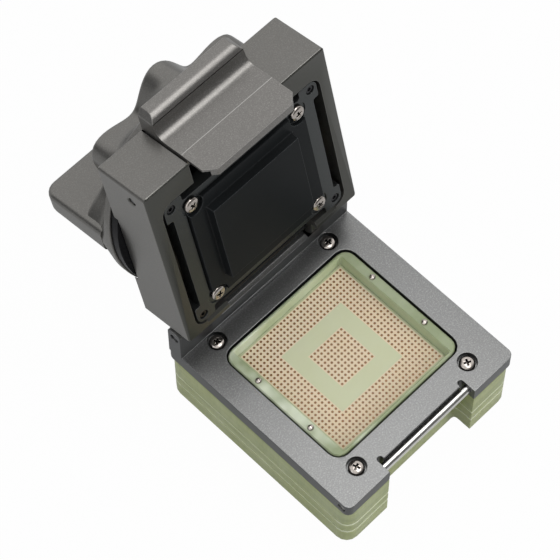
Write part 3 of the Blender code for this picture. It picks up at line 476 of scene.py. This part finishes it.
def drawn(name, light, dark, amount, metallic=1.0):
    """A bright drawn or turned steel finish."""
    material, tree, shader, place = start_material(name, metallic, 0.2)
    skin = use_group(tree, steel_group, place, Light=light, Dark=dark, Amount=amount)
    tree.links.new(skin.outputs["Color"], shader.inputs["Base Color"])
    tree.links.new(skin.outputs["Roughness"], shader.inputs["Roughness"])
    add_bump(tree, shader, skin.outputs["Height"], 0.05, 0.01 * mm)
    return material


milk_way = (-0.9, 0.4, 0.0)

frame_grey = blasted(
    "frame_grey", base=(0.165, 0.166, 0.164), speck=(0.38, 0.38, 0.37), edge_colour=(0.42, 0.42, 0.42),
    amount=0.5, grain=3200.0, cloud=0.05, rub_and_highlight=0.3)
# Painted shade: a darker copy of the frame's grey, for the frame's steep side faces.
frame_side_painted_shade = blasted(
    "frame_side_painted_shade", base=(0.070, 0.072, 0.074), speck=(0.16, 0.16, 0.16), edge_colour=(0.36, 0.36, 0.36),
    amount=0.4, grain=3200.0, cloud=0.05, rub_and_highlight=0.3)
lid_grey = blasted(
    "lid_grey", base=(0.165, 0.160, 0.150), speck=(0.32, 0.31, 0.295), edge_colour=(0.46, 0.45, 0.43),
    amount=0.45, grain=4000.0, cloud=0.03, rub_and_highlight=0.35)
# Painted light: a lighter copy of the lid's grey, which makes the latch brighter than the lid.
latch_painted_light_grey = blasted(
    "latch_painted_light_grey", base=(0.190, 0.183, 0.173), speck=(0.40, 0.385, 0.365), edge_colour=(0.50, 0.49, 0.47),
    amount=0.5, grain=4000.0, cloud=0.03, rub_and_highlight=0.35)
# Painted shade: a darker copy of the lid's grey, for the faces that look out of the lid's inner side
# and for its countersinks.
inner_painted_shade = blasted(
    "inner_painted_shade", base=(0.082, 0.082, 0.074), speck=(0.11, 0.11, 0.10), edge_colour=(0.30, 0.30, 0.29),
    amount=0.25, grain=4200.0, cloud=0.03, rub_and_highlight=0.5)
plate_grey = blasted(
    "plate_grey", base=(0.056, 0.060, 0.060), speck=(0.09, 0.09, 0.09), edge_colour=(0.22, 0.22, 0.22),
    amount=0.3, grain=3600.0, cloud=0.05, rub_and_highlight=0.6, metallic=0.8)
pusher_black = blasted(
    "pusher_black", base=(0.0095, 0.0105, 0.011), speck=(0.018, 0.019, 0.020), edge_colour=(0.15, 0.16, 0.165),
    amount=0.25, grain=3600.0, cloud=0.03, rub_and_highlight=0.5, metallic=0.0, bump=0.05, ior=1.14)
ring_black = blasted(
    "ring_black", base=(0.006, 0.006, 0.007), speck=(0.014, 0.014, 0.014), edge_colour=(0.03, 0.03, 0.03),
    amount=0.3, grain=2600.0, cloud=0.03, rub_and_highlight=0.3, metallic=0.0, bump=0.1, ior=1.2)
stack_laminate = laminated(
    "stack_laminate", resin=(0.37, 0.395, 0.17), ply=(0.165, 0.205, 0.08), amount=0.75, roughness=0.30)
# Painted highlight: a paler laminate for the upward-facing rounded top edges of the lower two layers.
seam_painted_highlight = laminated(
    "seam_painted_highlight", resin=(0.62, 0.655, 0.47), ply=(0.44, 0.48, 0.31), amount=0.6, roughness=0.30)
guide_plastic = laminated(
    "guide_plastic", resin=(0.265, 0.305, 0.175), ply=(0.185, 0.225, 0.12), amount=0.5, roughness=0.36,
    ply_scale=0.6, milk=0.9, milk_side=milk_way)
# Painted light: a lighter copy of the guide's laminate, for the guide's inner walls.
guide_wall_painted_light = laminated(
    "guide_wall_painted_light", resin=(0.42, 0.475, 0.30), ply=(0.33, 0.385, 0.225), amount=0.5, roughness=0.36,
    ply_scale=0.6, milk=0.7, milk_side=milk_way)
field_blank = laminated(
    "field_blank", resin=(0.53, 0.545, 0.35), ply=(0.47, 0.50, 0.31), amount=0.4, roughness=0.45,
    ply_scale=0.4)
field_ground = laminated(
    "field_ground", resin=(0.71, 0.585, 0.41), ply=(0.62, 0.475, 0.30), amount=0.6, roughness=0.45,
    ply_scale=0.5)
hole_brown = laminated(
    "hole_brown", resin=(0.24, 0.11, 0.038), ply=(0.14, 0.062, 0.02), amount=0.6, roughness=0.6,
    ply_scale=0.5)
contact_gold = drawn(
    "contact_gold", light=(0.40, 0.20, 0.072), dark=(0.24, 0.12, 0.043), amount=0.5, metallic=0.4)
bright_steel = drawn("bright_steel", light=(0.80, 0.79, 0.76), dark=(0.42, 0.41, 0.39), amount=0.35)
screw_steel = drawn("screw_steel", light=(0.56, 0.51, 0.47), dark=(0.22, 0.20, 0.18), amount=0.4)
# Painted shade: a near-black steel for the inside of the screws' crossed recesses.
recess_painted_shade = drawn("recess_painted_shade", light=(0.11, 0.10, 0.09), dark=(0.04, 0.037, 0.033), amount=0.5)
# Painted shade: a near-black steel for pins, screws and springs that sit in dark holes.
steel_painted_shade = drawn("steel_painted_shade", light=(0.045, 0.045, 0.048), dark=(0.02, 0.02, 0.022), amount=0.5)
# Painted highlight: a pale grey for the thin strip along the latch's bend.
bend_painted_highlight = blasted(
    "bend_painted_highlight", base=(0.46, 0.45, 0.43), speck=(0.55, 0.54, 0.52), edge_colour=(0.60, 0.59, 0.57),
    amount=0.3, grain=4200.0, cloud=0.03, rub_and_highlight=0.3)
spring_wire = drawn("spring_wire", light=(0.60, 0.59, 0.57), dark=(0.28, 0.27, 0.26), amount=0.5)


# Pieces of the base


def make_frame_shell():
    """The metal top frame, with softly eased top edges, and its sides painted darker as shade."""
    piece = dress("base_frame", "frame_shell")
    ease(piece, 0.16 * mm, lambda middle, edge: middle.z > frame_top - touch)
    smooth(piece)
    paint(piece, frame_grey, frame_side_painted_shade)
    steep = 0.4
    # Painted shade: the steep side faces take the darker grey.
    for face in piece.data.polygons:
        if abs(face.normal.z) < steep:
            face.material_index = 1


def outer_rim(low, high):
    """A test for the edges round the top and bottom of a layer, but not those of its holes."""
    def wanted(middle, edge):
        flat = abs(edge.verts[0].co.z - edge.verts[1].co.z) < hair
        rim = min(abs(middle.z - low.z), abs(middle.z - high.z)) < hair
        depth = high.y - low.y
        out = max(abs(middle.x) / high.x, (middle.y - low.y) / depth, (high.y - middle.y) / depth)
        return flat and rim and out > 0.9
    return wanted


def make_stack():
    """The three laminate layers, with lightly broken edges, and a painted highlight on the rounded top
    edges of the lower two.
    """
    highlight_band = 0.3 * mm
    for layer in ("upper_plate", "middle_plate", "lower_plate"):
        low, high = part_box(layer)
        piece = dress(layer, layer.replace("plate", "laminate"))
        ease(piece, 0.26 * mm, outer_rim(low, high))
        smooth(piece)
        paint(piece, stack_laminate, seam_painted_highlight)
        if layer == "upper_plate":
            continue
        # Painted highlight: the sloped faces of the rounded top edges take the paler laminate.
        for face in piece.data.polygons:
            if face.center.z > high.z - highlight_band and 0.2 < face.normal.z < 0.95:
                face.material_index = 1


def make_rod(name, node, radius, body, material):
    """A steel rod along X in the place of a CAD one, with rounded ends."""
    low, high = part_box(node)
    bpy.ops.object.select_all(action='DESELECT')
    bpy.ops.mesh.primitive_cylinder_add(vertices=round_sides, radius=radius, depth=high.x - low.x,
                                        location=(low + high) / 2, rotation=(0, math.radians(90), 0))
    piece = added(name)
    settle(piece)

    def end(middle, edge):
        return min(abs(middle.x - low.x), abs(middle.x - high.x)) < 2 * hair
    ease(piece, 0.18 * mm, end, segments=3, least_degrees=60)
    smooth(piece)
    paint(piece, material)
    stand_for(piece, body, "polished_steel", node)


def grow(piece, steps):
    """In edit mode with an end face selected: extrudes it through (radius, height) steps about Z."""
    radius, height = steps[0]
    for next_radius, next_height in steps[1:]:
        bpy.ops.mesh.extrude_region_move(TRANSFORM_OT_translate={"value": (0, 0, next_height - height)})
        if next_radius != radius:
            share = next_radius / radius
            bpy.ops.transform.resize(value=(share, share, 1), center_override=(0, 0, next_height))
        radius, height = next_radius, next_height


def turned_piece(name, steps, sides=round_sides):
    """A turned solid about Z, grown from a disc through (radius, height) steps."""
    bpy.ops.object.select_all(action='DESELECT')
    bpy.ops.mesh.primitive_circle_add(vertices=sides, radius=steps[0][0], fill_type='NGON',
                                      location=(0, 0, steps[0][1]))
    piece = added(name)
    settle(piece)
    edit(piece)
    grow(piece, steps)
    bpy.ops.mesh.select_all(action='SELECT')
    bpy.ops.mesh.normals_make_consistent(inside=False)
    done()
    return piece


def cross_cutter(arm, width, depth, top):
    """Two tapered blades that cut a crossed recess."""
    blades = []
    for turn in (0, 90):
        bpy.ops.object.select_all(action='DESELECT')
        bpy.ops.mesh.primitive_cube_add(size=1, location=(0, 0, top))
        blade = added(f"recess_{turn}")
        blade.scale = (arm, width, depth * 2)
        blade.rotation_euler = (0, 0, math.radians(turn))
        settle(blade)
        edit(blade, 'DESELECT')
        pick_faces(blade, lambda centre, normal: normal.z < -0.9)
        bpy.ops.transform.resize(value=(0.5, 0.5, 1), center_override=(0, 0, top))
        done()
        blades.append(blade)
    return blades


def make_pan_screw():
    """One pan-head screw with a domed head and a crossed recess painted dark as shade, modelled once.
    """
    head, height, shank, reach = 1.75 * mm, 1.2 * mm, 0.9 * mm, 2.2 * mm
    steps = [(shank, -reach), (shank, 0), (head - 0.1 * mm, 0), (head, 0.1 * mm), (head, 0.5 * mm),
             (0.97 * head, 0.72 * mm), (0.88 * head, 0.92 * mm), (0.72 * head, 1.07 * mm),
             (0.5 * head, 1.16 * mm), (0.25 * head, height)]
    screw = turned_piece("screw_pattern", steps)
    for blade in cross_cutter(arm=2.2 * mm, width=0.6 * mm, depth=0.95 * mm, top=height):
        apply_modifier(screw, 'BOOLEAN', operation='DIFFERENCE', object=blade, solver='EXACT')
        bpy.data.objects.remove(blade, do_unlink=True)
    dome = 0.75 * mm
    ease(screw, 0.05 * mm, lambda middle, edge: middle.z > dome, least_degrees=30)
    smooth(screw)
    paint(screw, screw_steel, recess_painted_shade)
    recess_radius, skin, fall = 1.12 * mm, 0.16 * mm, 0.35
    # Painted shade: the faces deep inside the crossed recess take the dark steel.
    for face in screw.data.polygons:
        height_here = face.center.z
        out = math.hypot(face.center.x, face.center.y)
        deep = height_here < height - skin - fall * (out / head) ** 2 * mm
        if deep and height_here > 0.1 * mm and out < recess_radius:
            face.material_index = 1
    return screw


def copy_of(pattern, name, matrix):
    """A copy with its own mesh, put in its place."""
    piece = bpy.data.objects.new(name, pattern.data.copy())
    bpy.context.scene.collection.objects.link(piece)
    piece.data.transform(matrix)
    piece.data.update()
    return piece


def make_screws():
    """The frame's four pan-head screws and the four that hold the pusher."""
    pattern = make_pan_screw()
    for word, (x, y), turn in zip(corner_words, screw_places, (20, 62, 35, 5)):
        seat = Matrix.Translation((x * mm, y * mm, screw_seat))
        turned = seat @ Matrix.Rotation(math.radians(turn), 4, 'Z')
        piece = copy_of(pattern, f"frame_pan_screw_{word}", turned)
        stand_for(piece, "base", "polished_steel", f"frame_screw_{word}")
    pusher_seat_w = 0.3 * mm
    shorter = Matrix.Diagonal((1, 1, 1 / 1.2, 1))
    for word, turn in zip(corner_words, (40, 12, 70, 28)):
        low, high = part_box(f"pusher_screw_{word}")
        x, v, _ = lid_measures((low + high) / 2)
        seat = place_matrix(across, up_lid, -out_of_back, lid_point(x, v, pusher_seat_w))
        turned = seat @ Matrix.Rotation(math.radians(turn), 4, 'Z')
        piece = copy_of(pattern, f"pusher_pan_screw_{word}", turned @ shorter)
        stand_for(piece, "pusher", "polished_steel", f"pusher_screw_{word}")
    bpy.data.objects.remove(pattern, do_unlink=True)


def make_guide_screws():
    """The four small button-head screws that stop the guide at its top."""
    shank, head, reach = 0.4 * mm, 0.7 * mm, 7.6 * mm
    steps = [(shank, -reach), (shank, 0), (0.66 * mm, 0), (head, 0.05 * mm), (head, 0.18 * mm),
             (0.62 * mm, 0.34 * mm), (0.46 * mm, 0.44 * mm), (0.28 * mm, 0.48 * mm),
             (0.2 * mm, 0.36 * mm)]
    pattern = turned_piece("stop_pattern", steps, 28)
    smooth(pattern, 50)
    for word, (x, y) in zip(corner_words, guide_screw_places):
        seat = Matrix.Translation((x * mm, y * mm, guide_rim_top + guide_rim_lift))
        piece = copy_of(pattern, f"guide_stop_screw_{word}", seat)
        paint(piece, screw_steel)
        stand_for(piece, "base", "polished_steel", f"guide_screw_{word}")
    bpy.data.objects.remove(pattern, do_unlink=True)


def make_guide():
    """The floating guide: a raised rim with sloping walls round the field of contact holes, its inner
    walls painted lighter as light.
    """
    piece = dress("chip_guide", "guide_rim")
    rim_band, window_reach = 0.35 * mm, 16.6 * mm
    for vert in piece.data.vertices:
        if vert.co.z > guide_rim_top - rim_band:
            vert.co.z += guide_rim_lift
    low_edge = guide_rim_top + guide_rim_lift - rim_band
    ease(piece, 0.2 * mm, lambda middle, edge: middle.z > low_edge and abs(middle.x) < window_reach,
         segments=3)
    smooth(piece)
    paint(piece, guide_plastic, guide_wall_painted_light)
    # Painted light: the inward-facing walls above the nest floor take the lighter laminate.
    for face in piece.data.polygons:
        inward = face.normal.z < 0.9 and face.normal.dot(face.center) < 0
        if inward and face.center.z > nest_floor:
            face.material_index = 1


def has_holes(centre):
    """True where the field has a contact: six outer rows, and a ten by ten block in the middle."""
    outer_rows, middle_block = 9, 5
    reach = max(abs(centre.x), abs(centre.y)) / mm
    return reach > outer_rows or reach < middle_block


def fill_slot(piece, index):
    """In edit mode: gives the selected faces one of the piece's materials."""
    piece.active_material_index = index
    bpy.ops.object.material_slot_assign()


def make_field():
    """A thin plate of thirty by thirty places, with a hole and a contact tip in each used one."""
    blank, ground, hole, tip = range(4)
    places, pitch, lift = 30, 1.0 * mm, 0.30 * mm
    web, corner, least_hole = 0.23 * mm, 0.14 * mm, 0.12 * mm * mm
    hole_depth, tip_gap, tip_height = 0.19 * mm, 0.09 * mm, 0.12 * mm
    skirt_flare, skirt_gap = 1.04, 0.02 * mm
    bpy.ops.object.select_all(action='DESELECT')
    bpy.ops.mesh.primitive_grid_add(x_subdivisions=places, y_subdivisions=places,
                                    size=places * pitch, location=(0, 0, nest_floor + lift))
    piece = added("contact_field")
    settle(piece)
    paint(piece, field_blank, field_ground, hole_brown, contact_gold)
    edit(piece, 'DESELECT')
    pick_faces(piece, lambda centre, normal: has_holes(centre))
    fill_slot(piece, ground)
    bpy.ops.mesh.inset(thickness=web, use_individual=True)
    fill_slot(piece, hole)
    bpy.ops.mesh.bevel(affect='VERTICES', offset=corner, segments=1)
    shape = bmesh.from_edit_mesh(piece.data)
    for face in shape.faces:
        inner = face.material_index == hole and face.calc_area() > least_hole
        if face.material_index == hole and not inner:
            face.material_index = ground
        face.select_set(inner)
    bmesh.update_edit_mesh(piece.data)
    bpy.ops.mesh.inset(thickness=0.03 * mm, depth=-hole_depth, use_individual=True)
    bpy.ops.mesh.inset(thickness=tip_gap, use_individual=True)
    fill_slot(piece, tip)
    bpy.ops.mesh.inset(thickness=0.02 * mm, depth=tip_height, use_individual=True)
    bpy.ops.mesh.select_all(action='DESELECT')
    bpy.ops.mesh.select_mode(type='EDGE')
    shape = bmesh.from_edit_mesh(piece.data)
    for edge in shape.edges:
        edge.select_set(len(edge.link_faces) == 1)
    bmesh.update_edit_mesh(piece.data)
    bpy.ops.mesh.extrude_region_move(TRANSFORM_OT_translate={"value": (0, 0, -lift + skirt_gap)})
    bpy.ops.transform.resize(value=(skirt_flare, skirt_flare, 1), center_override=(0, 0, nest_floor))
    bpy.ops.mesh.edge_face_add()
    bpy.ops.mesh.select_all(action='SELECT')
    bpy.ops.mesh.normals_make_consistent(inside=False)
    shape = bmesh.from_edit_mesh(piece.data)
    for face in shape.faces:
        middle = face.calc_center_median()
        if max(abs(middle.x), abs(middle.y)) > (places * pitch) / 2:
            face.material_index = blank
    bmesh.update_edit_mesh(piece.data)
    done()
    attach(piece, "guide")


# Pieces of the lid


def make_lid_shell():
    """The lid's frame, with eased edges and countersunk latch pin holes.

    The faces that look out of its inner side, and the countersinks, are painted darker as shade.
    """
    piece = dress("lid_frame", "lid_shell")
    side_x, lug_x, end_v, far_v, back_w = 24.0 * mm, 20.5 * mm, 0.5 * mm, 46.7 * mm, 13.3 * mm

    def outer(middle, edge):
        x, v, w = lid_measures(middle)
        on_lug = v < end_v and abs(x) > lug_x
        return (abs(x) > side_x or v > far_v or on_lug or w > back_w) and edge.calc_length() > 1.0 * mm
    ease(piece, 0.10 * mm, outer, least_degrees=30)
    low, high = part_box("latch_pin")
    _, hole_v, hole_w = lid_measures((low + high) / 2)

    def pin_hole_rim(middle, edge=None):
        x, v, w = lid_measures(middle)
        return abs(x) > side_x and math.hypot(v - hole_v, w - hole_w) < 1.1 * mm
    ease(piece, 0.45 * mm, pin_hole_rim, least_degrees=60)
    smooth(piece)
    paint(piece, lid_grey, inner_painted_shade)
    # Painted shade: the inner-facing faces and the countersinks take the darker grey.
    for face in piece.data.polygons:
        looks_in = face.normal.dot(out_of_back) < -0.6
        countersink = pin_hole_rim(face.center) and abs(face.normal.x) < 0.95
        if looks_in or countersink:
            face.material_index = 1


def sweep_lip(piece):
    """Gives the thumb lip's hollow and its crown a larger radius, so that they meet in one sweep."""
    front_w, plate_v, crown_v = 9.3 * mm, 48.0 * mm, 52.8 * mm
    old, new = 1.8 * mm, 2.4 * mm
    for vert in piece.data.vertices:
        x, v, w = lid_measures(vert.co)
        in_front = front_w - old - touch < w < front_w + touch
        behind = front_w - touch < w < front_w + old + touch
        if in_front and plate_v - touch < v < plate_v + old + touch:
            turn = math.atan2(w - (front_w - old), plate_v + old - v)
            vert.co = lid_point(x, plate_v + new - new * math.cos(turn),
                                front_w - new + new * math.sin(turn))
        elif behind and crown_v - old - touch < v < crown_v + touch:
            turn = math.atan2(front_w + old - w, v - (crown_v - old))
            vert.co = lid_point(x, crown_v - new + new * math.cos(turn),
                                front_w + new - new * math.sin(turn))
    edit(piece)
    bpy.ops.mesh.remove_doubles(threshold=hair)
    bpy.ops.mesh.dissolve_degenerate(threshold=touch)
    done()


def make_latch():
    """The latch plate with its thumb lip and hook, painted lighter than the lid, and a painted
    highlight along its bend.
    """
    piece = dress("latch", "latch_plate")
    sweep_lip(piece)
    side_x, bend_w, bend_v = 10.0 * mm, 2.1 * mm, 47.8 * mm
    ease(piece, 0.14 * mm,
         lambda middle, edge: abs(middle.x) > side_x and edge.calc_length() > 0.6 * mm,
         least_degrees=40)
    ease(piece, 0.07 * mm, lambda middle, edge: abs(lid_measures(middle)[2] - bend_w) < touch,
         segments=1, least_degrees=1)
    smooth(piece, 32)
    paint(piece, latch_painted_light_grey, bend_painted_highlight)
    # Painted light: the whole latch takes a lighter grey, and the thin strip along its bend a painted
    # highlight.
    for face in piece.data.polygons:
        _, v, w = lid_measures(face.center)
        if v > bend_v and abs(w - bend_w) < touch:
            face.material_index = 1


def shape_lobes(piece, levels, lobes=8):
    """Pushes the rings of a turned blank in and out into lobes: (height, mean, swing) levels."""
    same_level, still_radius = 0.004 * mm, 15 * mm
    for vert in piece.data.vertices:
        radius = math.hypot(vert.co.x, vert.co.y)
        match = [level for level in levels if abs(level[0] - vert.co.z) < same_level]
        if not match or radius < still_radius:
            continue
        wave = match[0][2] * math.cos(lobes * math.atan2(vert.co.y, vert.co.x))
        share = (radius + wave) / radius
        vert.co.x *= share
        vert.co.y *= share


def make_knob():
    """The knob: a round base that swells into eight lobes, and the wing handle."""
    levels = ((14.65, 26.3, 0), (14.9, 26.6, 0), (16.3, 26.6, 0), (16.9, 26.3, 0.3),
              (17.5, 25.7, 0.85), (18.2, 24.9, 1.6), (19.0, 24.2, 2.3), (19.9, 23.75, 2.75),
              (21.0, 23.55, 2.95), (23.1, 23.5, 2.95), (23.5, 23.4, 2.95), (23.8, 23.15, 2.9),
              (24.0, 22.75, 2.8))
    rings = [(height * mm, mean * mm, swing * mm) for height, mean, swing in levels]
    face_steps = [(14 * mm, knob_face), (7 * mm, knob_face)]
    knob = turned_piece("knob_grip", [(mean, height) for height, mean, _ in rings] + face_steps, 160)
    shape_lobes(knob, rings)
    hollow_knob(knob)
    wing = make_wing()
    apply_modifier(knob, 'BOOLEAN', operation='UNION', object=wing, solver='EXACT')
    bpy.data.objects.remove(wing, do_unlink=True)
    settle(knob, knob_place)
    smooth(knob, 40)
    paint(knob, lid_grey)
    stand_for(knob, "knob", "grey_anodised", "knob")


def hollow_knob(knob):
    """The cavity under the knob, with the hub and its bore in the middle."""
    base, cavity, hub, bore = 26.3 * mm, 18.0 * mm, 8.0 * mm, 5.15 * mm
    cavity_roof, bore_roof = 19.45 * mm, 19.4 * mm
    edit(knob, 'DESELECT')
    pick_faces(knob, lambda centre, normal: abs(centre.z - knob_floor) < hair and abs(normal.z) > 0.9)
    grow(knob, [(base, knob_floor), (cavity, knob_floor), (cavity, cavity_roof), (hub, cavity_roof),
                (hub, knob_floor), (bore, knob_floor), (bore, bore_roof)])
    bpy.ops.mesh.select_all(action='SELECT')
    bpy.ops.mesh.normals_make_consistent(inside=False)
    done()


def make_wing():
    """The flat wing handle, rounded at its corners and edges, and thinner towards its top."""
    half, thick, low, high = 26.55 * mm, 6.4 * mm, 18.0 * mm, 36.4 * mm
    corner, edge_round, taper = 3.4 * mm, 1.3 * mm, 0.2
    bpy.ops.object.select_all(action='DESELECT')
    bpy.ops.mesh.primitive_cube_add(size=1, location=(0, 0, (low + high) / 2))
    wing = added("wing_blank")
    wing.scale = (2 * half, thick, high - low)
    settle(wing)
    ease(wing, corner, lambda middle, edge: middle.z > high - near and abs(middle.x) > half - near,
         segments=6, least_degrees=60)
    ease(wing, edge_round,
         lambda middle, edge: abs(middle.y) > thick / 2 - near and middle.z > low + near,
         segments=4, least_degrees=60)
    for vert in wing.data.vertices:
        out = max(0, vert.co.z - knob_face) / (high - knob_face)
        vert.co.y *= 1 - taper * out
    return wing


def make_float_plate():
    """The dark plate that floats in the lid's pocket."""
    piece = dress("float_plate", "float_carrier")
    face_w = 0.2 * mm
    ease(piece, 0.14 * mm, lambda middle, edge: abs(lid_measures(middle)[2] - face_w) < 2 * hair)
    smooth(piece)
    paint(piece, plate_grey)


def make_pusher():
    """The black pusher with its raised island."""
    piece = dress("pusher", "pusher_block")
    front_w = -0.5 * mm
    ease(piece, 0.2 * mm, lambda middle, edge: lid_measures(middle)[2] < front_w)
    smooth(piece)
    paint(piece, pusher_black)


def make_ring():
    """The black ring between the knob and the lid."""
    piece = dress("thrust_ring", "slip_ring")
    ease(piece, 0.12 * mm, lambda middle, edge: edge.calc_length() > 0, least_degrees=60)
    smooth(piece)
    paint(piece, ring_black)


def finish_kept_nodes():
    """The small CAD pieces whose shape is right keep it, and get their finish; the shoulder screws and
    return springs are painted near-black as shade.
    """
    for name, node in frame["nodes"].items():
        if node.hide_render:
            continue
        material = spring_wire if "spring" in name else bright_steel
        # Painted shade: the shoulder screws and return springs get the near-black steel.
        if "shoulder" in name or "return" in name:
            material = steel_painted_shade
        paint(node, material)


# The camera, the floor and the light


def make_camera():
    """The photograph's viewpoint."""
    eye = Vector((-178.41, -159.90, 511.66)) * mm
    forward = Vector((0.3264, 0.3259, -0.8873)).normalized()
    right = Vector((0.7043, -0.7099, -0.0017)).normalized()
    right = (right - forward * right.dot(forward)).normalized()
    data = bpy.data.cameras.new("photo_camera")
    camera = bpy.data.objects.new("photo_camera", data)
    bpy.context.scene.collection.objects.link(camera)
    camera.matrix_world = place_matrix(right, right.cross(forward), -forward, eye)
    data.sensor_width = 36
    data.lens = 168.3
    data.clip_start, data.clip_end = 0.02, 20
    bpy.context.scene.camera = camera


def pale_backdrop_share(tree, seen_share, mirrored_share):
    """How white the backdrop is for a ray: straight from the camera, or mirrored and through glass."""
    path = tree.nodes.new('ShaderNodeLightPath')
    through = path.outputs['Is Transmission Ray']
    mirrored = times(tree, path.outputs['Is Glossy Ray'], through, 'MAXIMUM')
    seen = times(tree, path.outputs['Is Camera Ray'], seen_share)
    return times(tree, seen, times(tree, mirrored, mirrored_share), 'MAXIMUM')


def make_floor():
    """A plain pale floor that keeps a faint shadow."""
    side, drop = 6, 0.05 * mm
    bpy.ops.object.select_all(action='DESELECT')
    bpy.ops.mesh.primitive_grid_add(x_subdivisions=8, y_subdivisions=8, size=side,
                                    location=(0, 0, -drop))
    floor = added("studio_floor")
    settle(floor)
    material, tree, shader, place = start_material("pale_floor", 0.0, 0.9, 0.0)
    soft = spread(tree, noise(tree, place, 3.0), 0.3, 0.7)
    colour = blend_colours(tree, soft, (0.44, 0.44, 0.44), (0.46, 0.46, 0.46))
    tree.links.new(colour, shader.inputs["Base Color"])
    glow = tree.nodes.new('ShaderNodeEmission')
    glow.inputs['Color'].default_value = (1, 1, 1, 1)
    glow.inputs['Strength'].default_value = 1.0
    join = tree.nodes.new('ShaderNodeMixShader')
    white = pale_backdrop_share(tree, seen_share=0.98, mirrored_share=0.24)
    tree.links.new(white, join.inputs['Fac'])
    tree.links.new(shader.outputs['BSDF'], join.inputs[1])
    tree.links.new(glow.outputs['Emission'], join.inputs[2])
    tree.links.new(join.outputs['Shader'], tree.nodes['Material Output'].inputs['Surface'])
    paint(floor, material)


def make_world():
    """White where it is seen, a plain soft level where it lights, and two dim parts to mirror."""
    world = bpy.data.worlds.new("studio_world")
    bpy.context.scene.world = world
    world.use_nodes = True
    tree = world.node_tree
    light = tree.nodes["Background"]
    light.inputs['Color'].default_value = (0.97, 0.985, 1.0, 1)
    light.inputs['Strength'].default_value = 0.8
    seen = tree.nodes.new('ShaderNodeBackground')
    seen.inputs['Color'].default_value = (1, 1, 1, 1)
    way = tree.nodes.new('ShaderNodeTexCoord').outputs['Generated']
    to_front, to_side = (0.3, -0.95, 0.0), (-0.80, 0.57, 0.2)
    front = spread(tree, along(tree, way, to_front), 0.28, 0.64, 1.0, 0.15)
    side = spread(tree, along(tree, way, to_side), 0.78, 0.96, 1.0, 0.1)
    room = times(tree, front, side)
    path = tree.nodes.new('ShaderNodeLightPath')
    level = times(tree, room, path.outputs['Is Camera Ray'], 'MAXIMUM')
    tree.links.new(level, seen.inputs['Strength'])
    join = tree.nodes.new('ShaderNodeMixShader')
    white = pale_backdrop_share(tree, seen_share=1.0, mirrored_share=1.0)
    tree.links.new(white, join.inputs['Fac'])
    tree.links.new(light.outputs['Background'], join.inputs[1])
    tree.links.new(seen.outputs['Background'], join.inputs[2])
    tree.links.new(join.outputs['Shader'], tree.nodes['World Output'].inputs['Surface'])


def add_lamp(name, place, target, size, power, colour=(1, 1, 1)):
    """A rectangular softbox at a place, turned to a target."""
    data = bpy.data.lights.new(name, 'AREA')
    data.shape = 'RECTANGLE'
    data.size, data.size_y = size
    data.energy = power
    data.color = colour
    lamp = bpy.data.objects.new(name, data)
    bpy.context.scene.collection.objects.link(lamp)
    way = (Vector(target) - Vector(place)).normalized()
    lamp.matrix_world = Matrix.Translation(place) @ way.to_track_quat('-Z', 'Y').to_matrix().to_4x4()
    lamp.visible_camera = False
    return lamp


def make_lights():
    """A softbox above, one on the left, and a fill from the front that nothing mirrors."""
    add_lamp("overhead_softbox", place=(0.075, -0.02, 0.40), target=(0, 0, 0.03), size=(0.30, 0.14),
             power=0.40)
    fill = add_lamp("front_fill", place=(0.42, -0.85, 0.45), target=(0, 0, 0.02), size=(0.34, 0.34),
                    power=3.2)
    fill.visible_glossy = False
    add_lamp("left_softbox", place=(-0.95, 0.25, 0.55), target=(0, 0, 0.04), size=(0.5, 0.7),
             power=1.2, colour=(0.90, 0.95, 1.0))


bpy.context.scene.view_settings.view_transform = 'Standard'
make_camera()
make_frame_shell()
make_stack()
make_rod("latch_rail", "latch_bar", 0.95 * mm, "base", bright_steel)
# The hinge rod is painted near-black as shade in its holes.
make_rod("hinge_rod", "hinge_pin", 1.0 * mm, "base", steel_painted_shade)
make_screws()
make_guide_screws()
make_guide()
make_field()
make_lid_shell()
# The latch pivot rod is painted near-black as shade in its countersunk holes.
make_rod("latch_pivot_rod", "latch_pin", 0.75 * mm, "lid", steel_painted_shade)
make_latch()
make_knob()
make_float_plate()
make_pusher()
make_ring()
finish_kept_nodes()
make_floor()
make_world()
make_lights()
